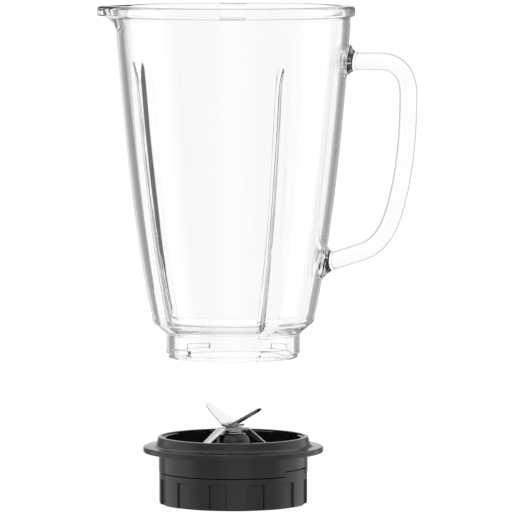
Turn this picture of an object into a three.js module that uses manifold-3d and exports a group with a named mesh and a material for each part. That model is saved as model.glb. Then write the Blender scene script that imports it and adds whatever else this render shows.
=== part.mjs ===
// A glass blender jug above its knife unit, drawn apart along their common axis.
// Millimetres, +Z up. The knife unit stands on z = 0 and the jug hangs clear above it.
import * as THREE from "three";
import { mergeVertices } from "three/addons/utils/BufferGeometryUtils.js";
import Module from "manifold-3d";

const wasm = await Module();
wasm.setup();

// ---- Driving dimensions ----

const DEG = Math.PI / 180;
const FIT_GAP = 0.2; // between pieces that stack along the shaft
const SEAT_GAP = 0.3; // between pieces that nest in each other

// Jug. Heights are above the foot that stands in the knife unit.
const JUG_LIFT = 92; // foot above the table, drawn apart
const JUG_HEIGHT = 220.3;
const FOOT_RADIUS = 40.6;
const RING_RADIUS = 41.9;
const THROAT_RADIUS = 36.9;
const SHOULDER_RADIUS = 51;
const SHOULDER_HEIGHT = 25;
const BELLY_CONTROL = [64.6, 86]; // outer wall's Bezier control, radius and height
const MOUTH_RADIUS = 73.3;
const MOUTH_HEIGHT = 205;
const RIM_RADIUS = 76.4;
const RIM_BASE_HEIGHT = 213.4;
const WALL_AT_MOUTH = 4.7;
const WALL_AT_FOOT = 6.2;
const SPOUT_REACH = 84.9; // axis to the spout's tip
const SPOUT_DEPTH = 12; // the spout grows out of the wall over this height
const SPOUT_AZIMUTH = 180;
const SPOUT_TIP_ROUND = 0.06; // radians either side of the tip that are rounded
const RIB_AZIMUTHS = [208.2, 298.2, 61.8, 151.8]; // the back pair mirrors the front pair in the handle's plane
const RIB_DEPTH = 3;
const RIB_TOP = 184;
const RIB_FADE = 12;
const LUG_COUNT = 4;
const LUG_AZIMUTH = 37;
const LUG_WIDTH_DEG = 28;
const LUG_RADIUS = 44;
const LUG_BASE_HEIGHT = 2.9;
const LUG_HEIGHT = 3.7;
const NOTCH_WIDTH = 14.6;
const NOTCH_FLOOR_RADIUS = 71.8;

// Handle
const HANDLE_REACH = 109.6; // axis to the grip's centreline
const HANDLE_THICK = 11.3;
const HANDLE_WIDE = 16;
const HANDLE_TOP_HEIGHT = 185.5;
const HANDLE_FLARE_RADIUS = 10;

// Knife unit
const COLLAR_RADIUS = 46.5;
const COLLAR_WALL = 2.6;
const SEAM_HEIGHT = 20;
const GRIP_COUNT = 12;
const GRIP_AZIMUTH = -71.7;
const GRIP_WIDTH_DEG = 13;
const GRIP_HEIGHT = 16.2;
const GRIP_DEPTH = 1.3;
const HOUSING_RADIUS = 46.8;
const FLANGE_RADIUS = 56.6;
const FLANGE_LOW = 32.4;
const FLANGE_HIGH = 36;
const CUP_RADIUS = 47.1;
const CUP_BORE = 44.6;
const CUP_RIM_HEIGHT = 42.3;
const FLOOR_LOW = 21.5;
const FLOOR_HIGH = 24;
const HOOK_BORE = 42.6;
const HOOK_LOW = 34.6;
const HOOK_HIGH = 41.4;
const HOOK_WIDTH_DEG = 56;
const SEAL_TOP = 27.4;
const DOME_RADIUS = 33.4;
const BOSS_TOP = 43.6;
const TAB_FROM_DEG = -46;
const TAB_WIDTH_DEG = 32;
const TAB_HEIGHT = 3.6;

// Bearing, shaft and blades
const SHAFT_RADIUS = 3;
const SHAFT_BORE = 3.25;
const BUSH_RADIUS = 5;
const SLEEVE_BORE = 5.3;
const SLEEVE_RADIUS = 6.5;
const BOSS_BORE = SLEEVE_RADIUS + SEAT_GAP;
const SLEEVE_LOW = 17.9;
const SLEEVE_HIGH = 42;
const BLADE_THICK = 1.3;
const LOWER_BLADE_HEIGHT = 47;
const UPPER_BLADE_HEIGHT = 49.25;
const SCREW_CIRCLE = 37.5;
const SCREW_COUNT = 4;
const SCREW_AZIMUTH = 10;
const WEB_LOW = 10.5;
const WEB_HIGH = 13.2;

const ROUND = 48; // facets of a large turning
const SMALL_ROUND = 24; // facets of a small one
const JUG_COLUMNS = 64; // facets of the jug's wall, counted from the first rib
const BELLY_STEPS = 8;

// ---- Materials ----

const glass = new THREE.MeshStandardMaterial({
  color: 0xf4f7f7, roughness: 0.02, metalness: 0, transparent: true, opacity: 0.35,
});
const blackPlastic = new THREE.MeshStandardMaterial({ color: 0x191a1b, roughness: 0.38, metalness: 0 });
const blackDrive = new THREE.MeshStandardMaterial({ color: 0x121314, roughness: 0.55, metalness: 0 });
const steel = new THREE.MeshStandardMaterial({ color: 0xd4d6d8, roughness: 0.18, metalness: 1 });
const bronze = new THREE.MeshStandardMaterial({ color: 0xa9753f, roughness: 0.45, metalness: 1 });
const silicone = new THREE.MeshStandardMaterial({ color: 0x2a2b2c, roughness: 0.75, metalness: 0 });

// ---- Shape tools ----

/** A closed geometry as a manifold-3d solid, turned to face out. */
function solid(geometry) {
  const bare = geometry.index ? geometry.toNonIndexed() : geometry.clone();
  bare.deleteAttribute("normal");
  bare.deleteAttribute("uv");
  const merged = mergeVertices(bare, 1e-3);
  const faces = Array.from(merged.index.array);
  const build = () =>
    new wasm.Manifold(
      new wasm.Mesh({
        numProp: 3,
        vertProperties: new Float32Array(merged.attributes.position.array),
        triVerts: new Uint32Array(faces),
      }),
    );
  const made = build();
  if (made.volume() > 0) return made;
  for (let i = 0; i < faces.length; i += 3) [faces[i + 1], faces[i + 2]] = [faces[i + 2], faces[i + 1]];
  return build();
}

/** A solid back as a geometry. */
function geometryOf(made) {
  const mesh = made.getMesh();
  const points = new Float32Array(mesh.numVert * 3);
  for (let i = 0; i < mesh.numVert; i++) {
    points.set(mesh.vertProperties.subarray(i * mesh.numProp, i * mesh.numProp + 3), i * 3);
  }
  return new THREE.BufferGeometry()
    .setAttribute("position", new THREE.BufferAttribute(points, 3))
    .setIndex(new THREE.BufferAttribute(mesh.triVerts, 1));
}

/** A profile of [radius, height] points, closed on itself or on the axis, turned about Z. */
function turned(profile, facets = ROUND) {
  const points = profile.map(([r, z]) => new THREE.Vector2(r, z));
  const onAxis = profile[0][0] === 0 && profile[profile.length - 1][0] === 0;
  if (!onAxis) points.push(points[0].clone());
  return solid(new THREE.LatheGeometry(points, facets).rotateX(Math.PI / 2));
}

/** A plain ring between two radii and two heights. */
function ring(inner, outer, low, high, facets = SMALL_ROUND) {
  return turned([[inner, low], [outer, low], [outer, high], [inner, high]], facets);
}

/** A flat shape in XY, pushed up from low to high. */
function extruded(shape, low, high, curveSegments = 8) {
  const options = { depth: high - low, bevelEnabled: false, curveSegments };
  return solid(new THREE.ExtrudeGeometry(shape, options).translate(0, 0, low));
}

/** A piece of a ring, from one azimuth over a width, in degrees. */
function sector(inner, outer, fromDeg, widthDeg, low, high) {
  const from = fromDeg * DEG;
  const to = (fromDeg + widthDeg) * DEG;
  const shape = new THREE.Shape();
  shape.absarc(0, 0, outer, from, to, false);
  shape.absarc(0, 0, inner, to, from, true);
  shape.closePath();
  return extruded(shape, low, high, Math.max(3, Math.round(widthDeg / 6)));
}

function box(sizeX, sizeY, sizeZ, x, y, z) {
  return solid(new THREE.BoxGeometry(sizeX, sizeY, sizeZ).translate(x, y, z));
}

function cylinder(radius, low, high, x = 0, y = 0, facets = 16) {
  const shape = new THREE.CylinderGeometry(radius, radius, high - low, facets);
  return solid(shape.rotateX(Math.PI / 2).translate(x, y, (low + high) / 2));
}

/** The same solid, made at each of several azimuths. */
function around(count, firstDeg, make) {
  return Array.from({ length: count }, (_, i) => make(firstDeg + (i * 360) / count));
}

const joined = (base, pieces) => pieces.reduce((sum, piece) => sum.add(piece), base);
const cut = (base, pieces) => pieces.reduce((left, piece) => left.subtract(piece), base);
const smooth = (t) => t * t * (3 - 2 * t);
const clamp01 = (t) => Math.min(1, Math.max(0, t));
const bezier = (a, b, c, t) => (1 - t) * (1 - t) * a + 2 * t * (1 - t) * b + t * t * c;

// ---- Jug ----

/** Points of the belly's curve, inset by a wall that thins towards the mouth. */
function bellyPoints(steps, inset) {
  return Array.from({ length: steps + 1 }, (_, i) => {
    const t = i / steps;
    const wall = inset * (WALL_AT_FOOT + (WALL_AT_MOUTH - WALL_AT_FOOT) * t);
    const radius = bezier(SHOULDER_RADIUS, BELLY_CONTROL[0], MOUTH_RADIUS, t) - wall;
    return [radius, bezier(SHOULDER_HEIGHT, BELLY_CONTROL[1], MOUTH_HEIGHT, t)];
  });
}

/** How far the spout has opened at an azimuth: 0 off the spout, 1 at its tip. */
function spoutShare(azimuth) {
  const half = Math.acos(RIM_RADIUS / SPOUT_REACH);
  const turn = Math.atan2(Math.sin(azimuth - SPOUT_AZIMUTH * DEG), Math.cos(azimuth - SPOUT_AZIMUTH * DEG));
  const beyondCircle = (off) => 1 / Math.cos(half - Math.min(half, off)) - 1;
  return beyondCircle(Math.hypot(turn, SPOUT_TIP_ROUND)) / beyondCircle(SPOUT_TIP_ROUND);
}

/** How far the ribs stand in at an azimuth and height. */
function ribDepth(azimuth, height) {
  const near = (rib) => Math.cos(azimuth - rib * DEG) > Math.cos(2 * DEG);
  const across = RIB_AZIMUTHS.some(near) ? 1 : 0; // one column stands in, and its neighbours slope up to it
  const top = smooth(clamp01((RIB_TOP - height) / RIB_FADE));
  const bottom = smooth(clamp01((height - SHOULDER_HEIGHT + 4) / 4));
  return RIB_DEPTH * across * top * bottom;
}

/** The jug's section as [radius, height, spout reach, is inside], up the outside and down the inside. */
function jugSection() {
  const spoutOut = SPOUT_REACH - MOUTH_RADIUS;
  const opening = (height, lowest) => clamp01((height - lowest) / SPOUT_DEPTH) ** 2;
  const outside = [
    [38.2, 0], [39.6, 0], [FOOT_RADIUS, 1], [FOOT_RADIUS, 2.8], [RING_RADIUS, 3.4], [RING_RADIUS, 13.5],
    [42.4, 14.8], [43.4, 16.6], [49.2, 21], [50.2, 22.6], ...bellyPoints(BELLY_STEPS, 0),
    [73.36, 208.5], [73.4, 211], [73.4, RIM_BASE_HEIGHT], [75.2, 213.8], [RIM_RADIUS, 215.2],
    [RIM_RADIUS, 218.4], [75.6, 219.7], [74.2, JUG_HEIGHT],
  ];
  const inside = [
    [70.2, JUG_HEIGHT], [69, 219.3], [68.7, 216], [68.65, 212], [68.62, 208.5],
    ...bellyPoints(BELLY_STEPS, 1).reverse(), [43.2, 23.2], [38.4, 19.8], [THROAT_RADIUS, 17.5],
    [THROAT_RADIUS, 1.6], [37.5, 0.5],
  ];
  return [
    ...outside.map(([r, h]) => {
      const beyond = r > 73.5 ? SPOUT_REACH - RIM_RADIUS : spoutOut;
      const open = opening(h, RIM_BASE_HEIGHT - 9.4);
      return [r, h, h > RIM_BASE_HEIGHT + 1 ? beyond : beyond * open, false];
    }),
    ...inside.map(([r, h]) => [r, h, 10.5 * opening(h, JUG_HEIGHT - SPOUT_DEPTH - 1), true]),
  ];
}

/** The jug's wall: its section carried round, opened at the spout and thickened at the ribs. */
function jugShell(columns) {
  const rows = jugSection().map(([r, h, spout, isInside]) =>
    Array.from({ length: columns }, (_, i) => {
      const azimuth = (RIB_AZIMUTHS[0] + (i * 360) / columns) * DEG;
      const rib = isInside && h > THROAT_RADIUS / 2 ? ribDepth(azimuth, h) : 0;
      const radius = r + spout * spoutShare(azimuth) - rib;
      return [radius * Math.cos(azimuth), radius * Math.sin(azimuth), h];
    }),
  );
  const index = (row, column) => (row % rows.length) * columns + (column % columns);
  const faces = [];
  rows.forEach((_, row) => {
    for (let c = 0; c < columns; c++) {
      const [a, b, d, e] = [index(row, c), index(row, c + 1), index(row + 1, c + 1), index(row + 1, c)];
      faces.push(a, b, d, a, d, e);
    }
  });
  return solid(
    new THREE.BufferGeometry()
      .setAttribute("position", new THREE.Float32BufferAttribute(rows.flat(2), 3))
      .setIndex(faces),
  );
}

/** Everything inside the jug's outer face, grown by the seat gap, to cut the handle's ends. */
function jugEnvelope() {
  const profile = [[0, SHOULDER_HEIGHT], ...bellyPoints(BELLY_STEPS, 0).map(([r, h]) => [r + SEAT_GAP, h]), [0, MOUTH_HEIGHT]];
  return turned(profile, JUG_COLUMNS);
}

function jugBody() {
  const lugs = around(LUG_COUNT, LUG_AZIMUTH - LUG_WIDTH_DEG / 2, (azimuth) =>
    sector(RING_RADIUS - 1, LUG_RADIUS, azimuth, LUG_WIDTH_DEG, LUG_BASE_HEIGHT, LUG_BASE_HEIGHT + LUG_HEIGHT));
  const notches = [-1, 1].map((side) => {
    const depth = 8;
    const reach = side * (NOTCH_FLOOR_RADIUS - depth / 2);
    return box(NOTCH_WIDTH, depth, 2 * (JUG_HEIGHT - RIM_BASE_HEIGHT), 0, reach, JUG_HEIGHT);
  });
  return cut(joined(jugShell(JUG_COLUMNS), lugs), notches);
}

/** The handle's centreline in XZ: out from the wall, down the grip, and back in on a slope. */
function handleLine() {
  const at = (x, z) => new THREE.Vector3(x, 0, z);
  const line = new THREE.CurvePath();
  const top = HANDLE_TOP_HEIGHT;
  line.add(new THREE.LineCurve3(at(68, top), at(92, top)));
  line.add(new THREE.CubicBezierCurve3(at(92, top), at(102, top), at(HANDLE_REACH, top - 6.5), at(HANDLE_REACH, 165)));
  line.add(new THREE.CubicBezierCurve3(at(HANDLE_REACH, 165), at(HANDLE_REACH, 130), at(105.5, 108), at(101, 92.5)));
  line.add(new THREE.CubicBezierCurve3(at(101, 92.5), at(97.5, 80.5), at(92, 70), at(80.6, 66.3)));
  line.add(new THREE.LineCurve3(at(80.6, 66.3), at(54, 57.8)));
  return line;
}

/** A short cone that spreads the handle's end onto the wall. */
function flare(x, z, slope) {
  const length = 9;
  const cone = new THREE.CylinderGeometry(HANDLE_THICK / 2, HANDLE_FLARE_RADIUS, length, 16);
  cone.scale(1, 1, 1.15).rotateZ(-Math.PI / 2 + slope).rotateX(Math.PI / 2);
  return solid(cone.translate(x, 0, z));
}

function jugHandle() {
  const section = new THREE.Shape().absellipse(0, 0, HANDLE_THICK / 2, HANDLE_WIDE / 2, 0, 2 * Math.PI);
  const options = { steps: 34, extrudePath: handleLine(), bevelEnabled: false, curveSegments: 8 };
  const bar = solid(new THREE.ExtrudeGeometry(section, options));
  const ends = [flare(75, HANDLE_TOP_HEIGHT, 0), flare(61, 60.2, 17 * DEG)];
  return cut(joined(bar, ends), [jugEnvelope()]);
}

// ---- Knife unit ----

/** The cup that takes the jug's foot, its flange, floor and bearing boss. */
function knifeHousing() {
  const shell = turned([
    [BOSS_BORE, 20.9], [9.5, 20.9], [9.5, FLOOR_LOW], [43.9, FLOOR_LOW], [43.9, SEAM_HEIGHT + 0.2],
    [HOUSING_RADIUS - 0.2, SEAM_HEIGHT + 0.2], [HOUSING_RADIUS, SEAM_HEIGHT + 0.6], [HOUSING_RADIUS, FLANGE_LOW - 0.6],
    [HOUSING_RADIUS + 0.6, FLANGE_LOW], [FLANGE_RADIUS - 1.3, FLANGE_LOW], [FLANGE_RADIUS - 0.3, FLANGE_LOW + 0.7],
    [FLANGE_RADIUS, (FLANGE_LOW + FLANGE_HIGH) / 2], [FLANGE_RADIUS - 0.3, FLANGE_HIGH - 0.7],
    [FLANGE_RADIUS - 1.3, FLANGE_HIGH], [51, FLANGE_HIGH + 0.2], [49.1, FLANGE_HIGH + 1.1], [48.1, FLANGE_HIGH + 2.8],
    [CUP_RADIUS + 0.2, CUP_RIM_HEIGHT - 1], [CUP_RADIUS - 0.6, CUP_RIM_HEIGHT], [CUP_BORE + 0.5, CUP_RIM_HEIGHT],
    [CUP_BORE, CUP_RIM_HEIGHT - 0.6], [CUP_BORE, FLOOR_HIGH], [DOME_RADIUS + 0.6, FLOOR_HIGH],
    [DOME_RADIUS, FLOOR_HIGH + 3], [30, FLOOR_HIGH + 4.4], [18, FLOOR_HIGH + 5.4], [12.6, 31.4],
    [10.6, 40.6], [9.2, 43], [8.2, BOSS_TOP], [BOSS_BORE, BOSS_TOP],
  ]);
  const hookFrom = LUG_AZIMUTH + 17;
  const hooks = around(LUG_COUNT, hookFrom, (azimuth) =>
    sector(HOOK_BORE, CUP_BORE + 0.8, azimuth, HOOK_WIDTH_DEG, HOOK_LOW, HOOK_HIGH));
  const stops = around(LUG_COUNT, hookFrom + HOOK_WIDTH_DEG - 33.5, (azimuth) =>
    sector(HOOK_BORE, CUP_BORE + 0.8, azimuth, 2.5, HOOK_LOW - 4, HOOK_LOW + 1));
  const posts = around(SCREW_COUNT, SCREW_AZIMUTH, (azimuth) =>
    atAzimuth(cylinder(3.3, WEB_HIGH + SEAT_GAP, FLOOR_LOW + 1, SCREW_CIRCLE, 0), azimuth));
  const pilots = around(SCREW_COUNT, SCREW_AZIMUTH, (azimuth) =>
    atAzimuth(cylinder(1.7, WEB_HIGH - 1, FLOOR_LOW - 0.4, SCREW_CIRCLE, 0, 12), azimuth));
  const tabSlot = sector(45, HOUSING_RADIUS + 1, TAB_FROM_DEG, TAB_WIDTH_DEG, SEAM_HEIGHT - 1, SEAM_HEIGHT + TAB_HEIGHT);
  return cut(joined(shell, [...hooks, ...stops, ...posts]), [...pilots, tabSlot]);
}

/** The grip collar under the housing, with its screw web and index tab. */
function driveCollar() {
  const inner = COLLAR_RADIUS - COLLAR_WALL;
  const shell = turned([
    [inner, 0], [COLLAR_RADIUS - 1.1, 0], [COLLAR_RADIUS - 0.4, 0.4], [COLLAR_RADIUS - 0.05, 1.3],
    [COLLAR_RADIUS, SEAM_HEIGHT - 0.6], [COLLAR_RADIUS - 0.3, SEAM_HEIGHT - 0.2], [inner - SEAT_GAP, SEAM_HEIGHT - 0.2],
    [inner - SEAT_GAP, FLOOR_LOW - SEAT_GAP], [inner - 2.2, FLOOR_LOW - SEAT_GAP], [inner - 2.2, WEB_HIGH],
    [33, WEB_HIGH], [33, WEB_LOW], [inner, WEB_LOW],
  ]);
  const grips = around(GRIP_COUNT, GRIP_AZIMUTH - 90 - GRIP_WIDTH_DEG / 2, (azimuth) =>
    sector(COLLAR_RADIUS - GRIP_DEPTH, COLLAR_RADIUS + 1, azimuth, GRIP_WIDTH_DEG, -1, GRIP_HEIGHT));
  const holes = around(SCREW_COUNT, SCREW_AZIMUTH, (azimuth) =>
    atAzimuth(cylinder(1.9, WEB_LOW - 1, WEB_HIGH + 1, SCREW_CIRCLE, 0, 12), azimuth));
  const tab = sector(45.3, COLLAR_RADIUS, TAB_FROM_DEG + 0.5, TAB_WIDTH_DEG - 1, SEAM_HEIGHT - 1.5,
    SEAM_HEIGHT + TAB_HEIGHT - SEAT_GAP);
  return cut(joined(shell, [tab]), [...grips, ...holes]);
}

/** A solid turned about Z by an azimuth in degrees. */
function atAzimuth(made, azimuth) {
  return solid(geometryOf(made).rotateZ(azimuth * DEG));
}

/** The silicone ring that the jug's foot presses on, with a centring bead on its inner edge. */
function jugSeal() {
  return turned([
    [34.6, FLOOR_HIGH + SEAT_GAP], [43.9, FLOOR_HIGH + SEAT_GAP], [43.9, SEAL_TOP - 0.4], [43.4, SEAL_TOP],
    [36.2, SEAL_TOP], [35.9, SEAL_TOP + 1.1], [35.1, SEAL_TOP + 1.1], [34.6, SEAL_TOP],
  ]);
}

/** The brass sleeve that holds both bushes, with a collar that the nut pulls against the boss. */
function bearingSleeve() {
  return ring(SLEEVE_BORE, SLEEVE_RADIUS, SLEEVE_LOW, SLEEVE_HIGH);
}

function bearingNut() {
  const hexagon = new THREE.CylinderGeometry(9.8, 9.8, 2.3, 6).rotateX(Math.PI / 2).translate(0, 0, 19.45);
  return cut(solid(hexagon), [cylinder(BOSS_BORE, 17, 22, 0, 0, SMALL_ROUND)]);
}

function retainingRing() {
  const gap = box(4, 2.2, 3, 5, 0, 17.2);
  return cut(ring(SHAFT_BORE, 5.4, 16.7, 17.6), [gap]);
}

/** The six-dog coupling that the motor drives from below. */
function driveCoupling() {
  const hub = turned([
    [SHAFT_BORE, 5.6], [6, 5.6], [6, 9.4], [13.4, 9.4], [14.4, 10.2], [14.4, 12.6], [13.6, 13.4],
    [7.4, 14.6], [SHAFT_BORE, 14.6],
  ], 36);
  const dogs = around(6, 0, (azimuth) => sector(8, 13.2, azimuth - 13, 26, 3, 9.8));
  return joined(hub, dogs);
}

function bladeShaft() {
  return turned([
    [0, 4.6], [2.6, 4.6], [SHAFT_RADIUS, 5], [SHAFT_RADIUS, 50.4], [2.6, 50.8], [0, 50.8],
  ], SMALL_ROUND);
}

/**
 * A two-armed blade of sheet steel, the same after half a turn. Each arm bends at a straight line near
 * the hub. Its leading and trailing edges run from there to a slanted, slightly curved tip.
 */
function blade({ hubHeight, azimuth, bend, bendAt, leading, trailing }) {
  const half = BLADE_THICK / 2;
  const [leadRoot, leadReach, leadTip] = leading;
  const [trailRoot, trailReach, trailTip] = trailing;
  const outline = new THREE.Shape();
  outline.moveTo(0, -trailRoot);
  outline.lineTo(trailReach, -trailTip);
  outline.quadraticCurveTo(trailReach, (leadTip - trailTip) / 2, leadReach, leadTip);
  outline.lineTo(0, leadRoot);
  outline.closePath();
  const arm = (turn) => {
    const plate = new THREE.ExtrudeGeometry(outline, { depth: BLADE_THICK, bevelEnabled: false, curveSegments: 5 });
    plate.translate(-half * Math.tan((bend / 2) * DEG), 0, -half).rotateY(-bend * DEG);
    return solid(plate.translate(bendAt, 0, 0).rotateZ(turn).translate(0, 0, hubHeight));
  };
  const strip = new THREE.Shape();
  strip.moveTo(bendAt, -trailRoot);
  strip.lineTo(bendAt, leadRoot);
  strip.lineTo(-bendAt, trailRoot);
  strip.lineTo(-bendAt, -leadRoot);
  strip.closePath();
  const flat = new THREE.ExtrudeGeometry(strip, { depth: BLADE_THICK, bevelEnabled: false });
  const hub = solid(flat.rotateZ(azimuth * DEG).translate(0, 0, hubHeight - half));
  const turns = [azimuth * DEG, azimuth * DEG + Math.PI];
  return cut(joined(hub, turns.map(arm)), [cylinder(SHAFT_BORE, 0, 100, 0, 0, SMALL_ROUND)]);
}

// An edge is its distance from the arm's middle line at the bend, then its tip's reach and distance.
const upperBlade = () => blade({
  hubHeight: UPPER_BLADE_HEIGHT, azimuth: 134.4, bend: 28, bendAt: 5.2,
  leading: [5.4, 20.6, 0.9], trailing: [9.9, 26.1, 5.3],
});
const lowerBlade = () => blade({
  hubHeight: LOWER_BLADE_HEIGHT, azimuth: 32, bend: -36, bendAt: 8.6,
  leading: [3.4, 22, 3.4], trailing: [5.8, 24, 1.8],
});

/** A screw from below, its cross-headed pan under the collar's web. */
function collarScrew(azimuth) {
  const body = turned([
    [0, 8.2], [1.9, 8.2], [2.9, 8.9], [3.1, WEB_LOW - FIT_GAP], [1.35, WEB_LOW - FIT_GAP], [1.35, 20], [0.9, 20.6], [0, 20.6],
  ], 14).translate([SCREW_CIRCLE, 0, 0]);
  const cross = [0, 90].map((turn) => box(turn ? 0.7 : 3.4, turn ? 3.4 : 0.7, 1.6, SCREW_CIRCLE, 0, 8.2));
  return atAzimuth(cut(body, cross), azimuth);
}

// ---- Assembly ----

const object = new THREE.Group();
// The handle reaches further than the spout, so the axis is set off to centre the whole on the origin.
const handleEdge = HANDLE_REACH + HANDLE_THICK / 2;
const onAxis = new THREE.Group();
onAxis.position.x = -(handleEdge - SPOUT_REACH) / 2;
object.add(onAxis);

function place(name, made, material, height = 0) {
  const mesh = new THREE.Mesh(geometryOf(made), material);
  mesh.name = name;
  mesh.position.z = height;
  onAxis.add(mesh);
}

place("jug_body", jugBody(), glass, JUG_LIFT);
place("jug_handle", jugHandle(), glass, JUG_LIFT);
place("jug_seal", jugSeal(), silicone);
place("knife_housing", knifeHousing(), blackPlastic);
place("drive_collar", driveCollar(), blackDrive);
around(SCREW_COUNT, SCREW_AZIMUTH, (azimuth) => azimuth).forEach((azimuth, i) => {
  place(`collar_screw_${i + 1}`, collarScrew(azimuth), steel);
});
place("bearing_sleeve", bearingSleeve(), bronze);
place("bearing_nut", bearingNut(), steel);
place("upper_bush", ring(SHAFT_BORE, BUSH_RADIUS, 35.5, 41.8), bronze);
place("lower_bush", ring(SHAFT_BORE, BUSH_RADIUS, 18.1, 24.4), bronze);
place("shaft_seal", ring(SHAFT_BORE, SLEEVE_RADIUS - 0.1, SLEEVE_HIGH + FIT_GAP, 43.5), silicone);
place("blade_shaft", bladeShaft(), steel);
place("thrust_washer", ring(SHAFT_BORE, 6.4, 43.9, 44.7), steel);
place("blade_seat", ring(SHAFT_BORE, 5.8, 44.9, LOWER_BLADE_HEIGHT - BLADE_THICK / 2 - FIT_GAP), steel);
place("lower_blade", lowerBlade(), steel);
const [spacerLow, spacerHigh] = [LOWER_BLADE_HEIGHT, UPPER_BLADE_HEIGHT].map((height, i) =>
  height + (i ? -1 : 1) * (BLADE_THICK / 2 + FIT_GAP));
place("blade_spacer", ring(SHAFT_BORE, 5, spacerLow, spacerHigh), steel);
place("upper_blade", upperBlade(), steel);
place("peened_collar", ring(SHAFT_BORE, 4.1, 50.1, 50.6), steel);
place("retaining_ring", retainingRing(), steel);
place("lower_washer", ring(SHAFT_BORE, 6, 15.2, 16.2), steel);
place("drive_coupling", driveCoupling(), blackDrive);

export default object;
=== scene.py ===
"""A clear glass blender jug drawn apart above its black knife unit, dressed for a studio picture.

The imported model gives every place. The jug, the knife unit's mouldings and the blades are made again here
with fine surfaces, and the small turned pieces are rebuilt from the boxes of the nodes that they stand for.
"""

import logging
import math
from dataclasses import dataclass
from enum import Enum
from typing import Callable, Iterable, Sequence

import bmesh
import bpy
import numpy as np
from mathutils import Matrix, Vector


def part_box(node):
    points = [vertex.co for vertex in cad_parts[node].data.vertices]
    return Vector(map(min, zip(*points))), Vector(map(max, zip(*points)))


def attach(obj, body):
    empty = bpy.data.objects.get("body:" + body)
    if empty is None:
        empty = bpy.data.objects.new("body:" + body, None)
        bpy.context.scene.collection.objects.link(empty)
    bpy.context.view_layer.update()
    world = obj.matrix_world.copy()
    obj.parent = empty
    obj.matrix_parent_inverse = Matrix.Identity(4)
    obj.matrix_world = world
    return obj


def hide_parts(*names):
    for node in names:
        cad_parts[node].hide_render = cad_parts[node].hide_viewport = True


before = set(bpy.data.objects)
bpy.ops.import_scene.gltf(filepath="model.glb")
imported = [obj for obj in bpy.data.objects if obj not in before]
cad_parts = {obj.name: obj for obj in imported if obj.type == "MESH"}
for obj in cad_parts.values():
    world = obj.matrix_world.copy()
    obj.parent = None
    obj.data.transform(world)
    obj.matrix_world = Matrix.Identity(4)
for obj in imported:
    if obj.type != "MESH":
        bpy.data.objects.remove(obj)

LOG = logging.getLogger("jug")
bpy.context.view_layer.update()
MM = 0.001
TAU = 2 * math.pi
FRONT = -90.0  # azimuth of the side with the graduations, in degrees

Array = np.ndarray
Shape = Callable[[Array, Array, Array], tuple[Array, Array]]


def axis_x() -> float:
    """Where the jug's axis stands along X, in metres, from the seal's box."""
    low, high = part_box("jug_seal")
    return (low.x + high.x) / 2


AXIS_X = axis_x()


# ---- Sections and meshes ----


@dataclass(frozen=True)
class Corner:
    """A corner of a turned section: its radius and height in millimetres, and how far it is rounded."""

    r: float
    z: float
    fillet: float = 0.0


def rounded(corners: Sequence[Corner], arc_step: float = 14.0) -> Array:
    """Turns the corners of a closed section into points, with an arc at each rounded corner.

    Args:
        corners: The section's corners in order.
        arc_step: The most degrees that one step of an arc may turn.

    Returns:
        An array of (radius, height) rows.
    """
    points: list[Array] = []
    spots = [np.array([c.r, c.z]) for c in corners]
    for i, corner in enumerate(corners):
        here, before, after = spots[i], spots[i - 1], spots[(i + 1) % len(spots)]
        back, on = before - here, after - here
        room = 0.49 * min(np.linalg.norm(back), np.linalg.norm(on))
        back, on = back / np.linalg.norm(back), on / np.linalg.norm(on)
        half = math.acos(float(np.clip(back @ on, -1, 1))) / 2
        if corner.fillet <= 0 or half > math.radians(89):
            points.append(here)
            continue
        reach = min(corner.fillet / math.tan(half), room)
        middle = here + (back + on) / np.linalg.norm(back + on) * reach / math.cos(half)
        first, last = here + back * reach - middle, here + on * reach - middle
        start = math.atan2(first[1], first[0])
        turn = (math.atan2(last[1], last[0]) - start + math.pi) % TAU - math.pi
        steps = max(1, math.ceil(abs(math.degrees(turn)) / arc_step))
        radius = np.linalg.norm(first)
        for k in range(steps + 1):
            angle = start + turn * k / steps
            points.append(middle + radius * np.array([math.cos(angle), math.sin(angle)]))
    return np.array(points)


def closer(points: Array, longest: float) -> Array:
    """Adds points to a closed section so that no step of it is longer than that many millimetres."""
    rows: list[Array] = []
    for here, after in zip(points, np.roll(points, -1, axis=0)):
        steps = max(1, math.ceil(np.linalg.norm(after - here) / longest))
        rows += [here + (after - here) * k / steps for k in range(steps)]
    return np.array(rows)


def azimuths(count: int, edges: Iterable[float] = (), width: float = 0.25) -> Array:
    """Column directions round the axis, with close pairs at the edges of features.

    Args:
        count: How many evenly spaced columns there are.
        edges: Azimuths of sharp upright edges, in degrees.
        width: Half the degrees between the two columns of an edge.

    Returns:
        Sorted azimuths in radians, none nearly the same.
    """
    sharp = sorted({round(e % 360 + s * width, 4) % 360 for e in edges for s in (-1, 1)})
    even = [i * 360 / count for i in range(count)]
    far = [a for a in even if all(abs((a - s + 180) % 360 - 180) > 0.6 * width for s in sharp)]
    return np.radians(sorted(far + sharp))


def away(azimuth: Array, centre: float) -> Array:
    """How far azimuths in radians lie from a centre in degrees, signed, in radians."""
    return (azimuth - math.radians(centre) + math.pi) % TAU - math.pi


def smooth(t: Array) -> Array:
    """Rises smoothly from 0 to 1 as t does, and is flat outside."""
    t = np.clip(t, 0, 1)
    return t * t * (3 - 2 * t)


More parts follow.
